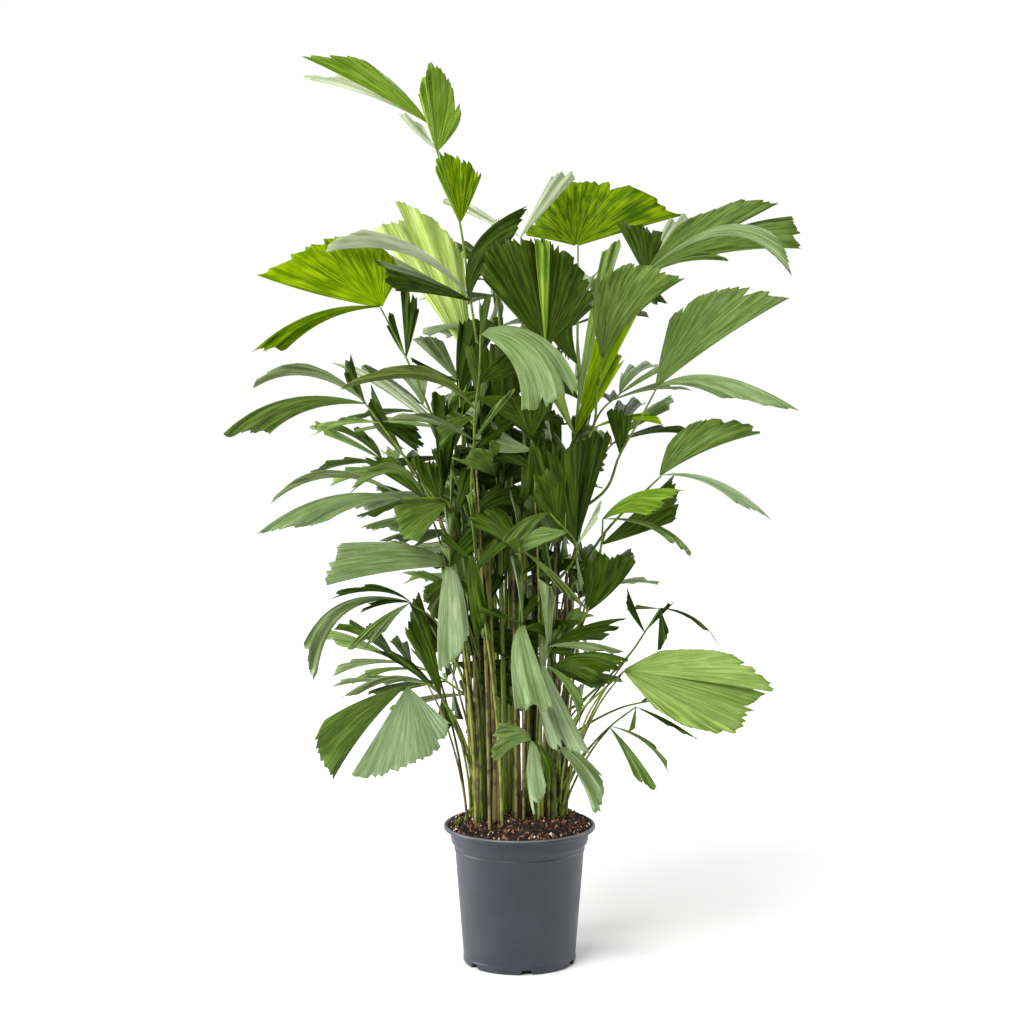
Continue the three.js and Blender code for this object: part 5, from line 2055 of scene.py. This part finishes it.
@dataclass
class PottingMix:
    """The filled pot's top: a rough bed of peat with bark and perlite strewn on it."""

    edge_radius: float = 112.4
    edge_height: float = 221.0
    crown_height: float = 241.0
    bottom: float = 208.0
    bottom_radius: float = 100.0
    rings: int = 46
    spokes: int = 150
    relief: float = 3.0
    lump: float = 26.0
    grain: float = 8.0
    calm_edge: float = 12.0
    top_slope: float = 0.3
    kinds: tuple[Crumbs, ...] = (
        Crumbs("peat_crumbs", CrumbFinish("peat_crumbled", "#170d08", "#33201a"), 34000, 1.6, 4.4, 0.7, 11),
        Crumbs("bark_crumbs", CrumbFinish("pine_bark_crumbled", "#6b4029", "#a8764f"), 15000, 1.8, 5.6, 0.4, 23),
        Crumbs("bark_flecks", CrumbFinish("pine_bark_fresh_break", "#cf9a68", "#e9c79e"), 7000, 1.5, 3.8, 0.4, 37),
        Crumbs(
            "perlite_grains", CrumbFinish("perlite_expanded", "#f2eee4", "#fdfbf5", 3.0, 0.8), 2400, 1.5, 3.0, 0.85, 41
        ),
    )

    def height(self, radius: float, angle: float) -> float:
        """Gives the bed's height at a place.

        Args:
            radius: The distance from the pot's axis.
            angle: The angle about it.

        Returns:
            The height in millimetres.
        """
        heap = (self.crown_height - self.edge_height) * (1 - (radius / self.edge_radius) ** 3)
        spot = Vector((radius * math.cos(angle), radius * math.sin(angle), 0.0))
        rough = noise.fractal(spot / self.lump, 1.0, 2.0, 3) + 0.5 * noise.fractal(spot / self.grain, 1.0, 2.0, 2)
        return self.edge_height + heap + self.relief * rough * min(1.0, (self.edge_radius - radius) / self.calm_edge)

    def bed(self) -> bpy.types.Object:
        """Makes the bed: a closed disc with a rough top.

        Returns:
            The bed.
        """
        angles = [math.tau * j / self.spokes for j in range(self.spokes)]
        vertices = [(0.0, 0.0, self.height(0.0, 0.0))]
        for i in range(1, self.rings + 1):
            radius = self.edge_radius * i / self.rings
            for turn in angles:
                vertices.append((radius * math.cos(turn), radius * math.sin(turn), self.height(radius, turn)))
        radius = self.bottom_radius
        vertices += [(radius * math.cos(turn), radius * math.sin(turn), self.bottom) for turn in angles]
        # The rings of the top from the middle out, and the ring of the underside last
        rings = np.arange(1, len(vertices)).reshape(-1, self.spokes)
        after = np.roll(rings, -1, axis=1)
        faces = [[0, first, last] for first, last in zip(rings[0].tolist(), after[0].tolist())]
        faces += quads(rings[:-1], rings[1:], after[1:], after[:-1]).tolist()
        faces.append(rings[-1, ::-1].tolist())
        mesh = new_mesh("potting_bed", [tuple(value * MM for value in vertex) for vertex in vertices], faces)
        mesh.materials.append(CrumbFinish("peat_packed", "#23150e", "#40291c", 4.0).material())
        return placed("potting_bed", mesh)

    def build(self) -> list[bpy.types.Object]:
        """Builds the bed and its crumbs.

        Returns:
            The pieces.
        """
        bed = self.bed()
        pieces = [kept(bed, ["soil"])]
        faces = [list(face.vertices) for face in bed.data.polygons if face.normal.z > self.top_slope]
        top = new_mesh("bed_top", [vertex.co.copy() for vertex in bed.data.vertices], faces)
        tree = CrumbTree().tree()
        for kind in self.kinds:
            host = placed(kind.name, top.copy())
            values = {
                "Density": kind.per_square_metre,
                "Smallest": kind.smallest * MM,
                "Largest": kind.largest * MM,
                "Flatness": kind.flatness,
                "Seed": kind.seed,
                "Stuff": kind.finish.material(),
            }
            pieces.append(kept(realized(host, tree, values), []))
        return pieces


@dataclass
class Seedlings:
    """The few young shoots that stand in the mix at the left of the clump."""

    # Spread, short side, arch and crest, and then each shoot's foot across and depth and its tip
    shape: tuple[float, ...] = (13.0, 0.7, 3.0, 0.5)
    shoots: tuple[Row, ...] = (
        (-86.0, -22.0, -68.0, -34.0, 258.0),
        (-86.0, -24.0, -102.0, -40.0, 243.0),
        (-82.0, -20.0, -76.0, -30.0, 250.0),
        (-88.0, -26.0, -92.0, -52.0, 246.0),
    )

    def build(self) -> bpy.types.Object:
        """Builds the shoots as narrow blades.

        Returns:
            The piece.
        """
        shell = Shell()
        for k, (foot_x, foot_y, tip_x, tip_y, tip_z) in enumerate(self.shoots):
            foot = np.array((foot_x, foot_y, SOIL_TOP + 2))
            tip = np.array((tip_x, tip_y, tip_z))
            fine = {"tooth_depth": 1.0, "pleat_depth": 0.2, "ripple": 0.4}
            Blade(foot, tip, False, *self.shape, seed=SEEDLING_SEED + k, **fine).grow(shell)
        young = LeafFinish("seedling_leaf_grown", "#a9b84a", "#7f9430", "#6b7a26")
        piece = shell.build("seedlings", [young.material(), young.material()])
        return kept(piece, [])


@dataclass
class Studio:
    """The pale floor, the soft light and the camera at the photograph's angle."""

    floor_size: float = 400.0
    camera_at: Row = (-0.012, -4.5, 1.30)
    camera_tilt_deg: float = 82.66
    lens_mm: float = 102.0
    sensor_mm: float = 36.0
    ambient: float = 0.42
    seen_white: float = 1.02
    sun_at: Row = (-1.6, -2.2, 3.4)
    sun_power: float = 3.0
    sun_softness_deg: float = 40.0
    crown_at: Row = (0.0, 0.0, 0.75)
    # Soft lights: place and side in metres, power in watts
    soft_lights: tuple[tuple[str, Row, float, float], ...] = (
        ("left_light", (-2.9, 0.1, 0.7), 1.3, 70.0),
        ("right_light", (2.9, 0.8, 0.7), 1.0, 26.0),
        ("back_light", (0.8, 2.8, 2.6), 2.0, 40.0),
    )

    def build(self) -> None:
        """Builds the floor, the lights and the camera."""
        half = self.floor_size / 2
        corners = [(-half, -half, 0), (half, -half, 0), (half, half, 0), (-half, half, 0)]
        floor = placed("pale_floor", new_mesh("pale_floor", corners, [(0, 1, 2, 3)]))
        paper, _, shader = new_skin("studio_paper_matt")
        shader.inputs["Base Color"].default_value = linear("#fafafa")
        shader.inputs["Roughness"].default_value = 0.95
        shader.inputs["Specular IOR Level"].default_value = 0.1
        floor.data.materials.append(paper)
        self.backdrop()
        self.sun("key_light")
        for row in self.soft_lights:
            self.light(*row)
        data = bpy.data.cameras.new("photo_camera")
        data.lens = self.lens_mm
        data.sensor_width = self.sensor_mm
        camera = placed("photo_camera", data)
        camera.location = self.camera_at
        camera.rotation_euler = (math.radians(self.camera_tilt_deg), 0.0, 0.0)
        bpy.context.scene.camera = camera
        bpy.context.scene.view_settings.view_transform = "Standard"

    def backdrop(self) -> None:
        """Makes the white surroundings, which light the plant less than they show."""
        world = bpy.data.worlds.new("studio")
        world.use_nodes = True
        tree = world.node_tree
        seen = add_node(tree, "ShaderNodeLightPath").outputs["Is Camera Ray"]
        strength = add_node(tree, "ShaderNodeMapRange", inputs={0: seen, 3: self.ambient, 4: self.seen_white})
        background = tree.nodes["Background"]
        background.inputs[0].default_value = (1.0, 1.0, 1.0, 1.0)
        tree.links.new(strength.outputs[0], background.inputs[1])
        bpy.context.scene.world = world

    def aimed(self, data: bpy.types.Light, place: Row) -> bpy.types.Object:
        """Puts a light in the scene, turned to shine from a place to the crown.

        Args:
            data: The light, whose name it takes.
            place: The place that it shines from.

        Returns:
            The light's object, at the origin.
        """
        made = placed(data.name, data)
        made.rotation_euler = (Vector(self.crown_at) - Vector(place)).to_track_quat("-Z", "Y").to_euler()
        return made

    def sun(self, name: str) -> None:
        """Adds the broad parallel light.

        Args:
            name: Its name.
        """
        data = bpy.data.lights.new(name, "SUN")
        data.energy = self.sun_power
        data.angle = math.radians(self.sun_softness_deg)
        self.aimed(data, self.sun_at)

    def light(self, name: str, place: Row, size: float, power: float) -> None:
        """Adds a soft square light that faces the crown.

        Args:
            name: Its name.
            place: Where it stands, in metres.
            size: The length of its side, in metres.
            power: Its power in watts.
        """
        data = bpy.data.lights.new(name, "AREA")
        data.size = size
        data.energy = power
        self.aimed(data, place).location = place


def main() -> None:
    """Builds the plant, its pot and the studio."""
    logging.basicConfig(level=logging.INFO, format="%(name)s %(message)s")
    Studio().build()
    GrowersPot().build()
    PottingMix().build()
    Seedlings().build()
    CaneClump().build()
    Crown().build()


if __name__ == "__main__":
    main()
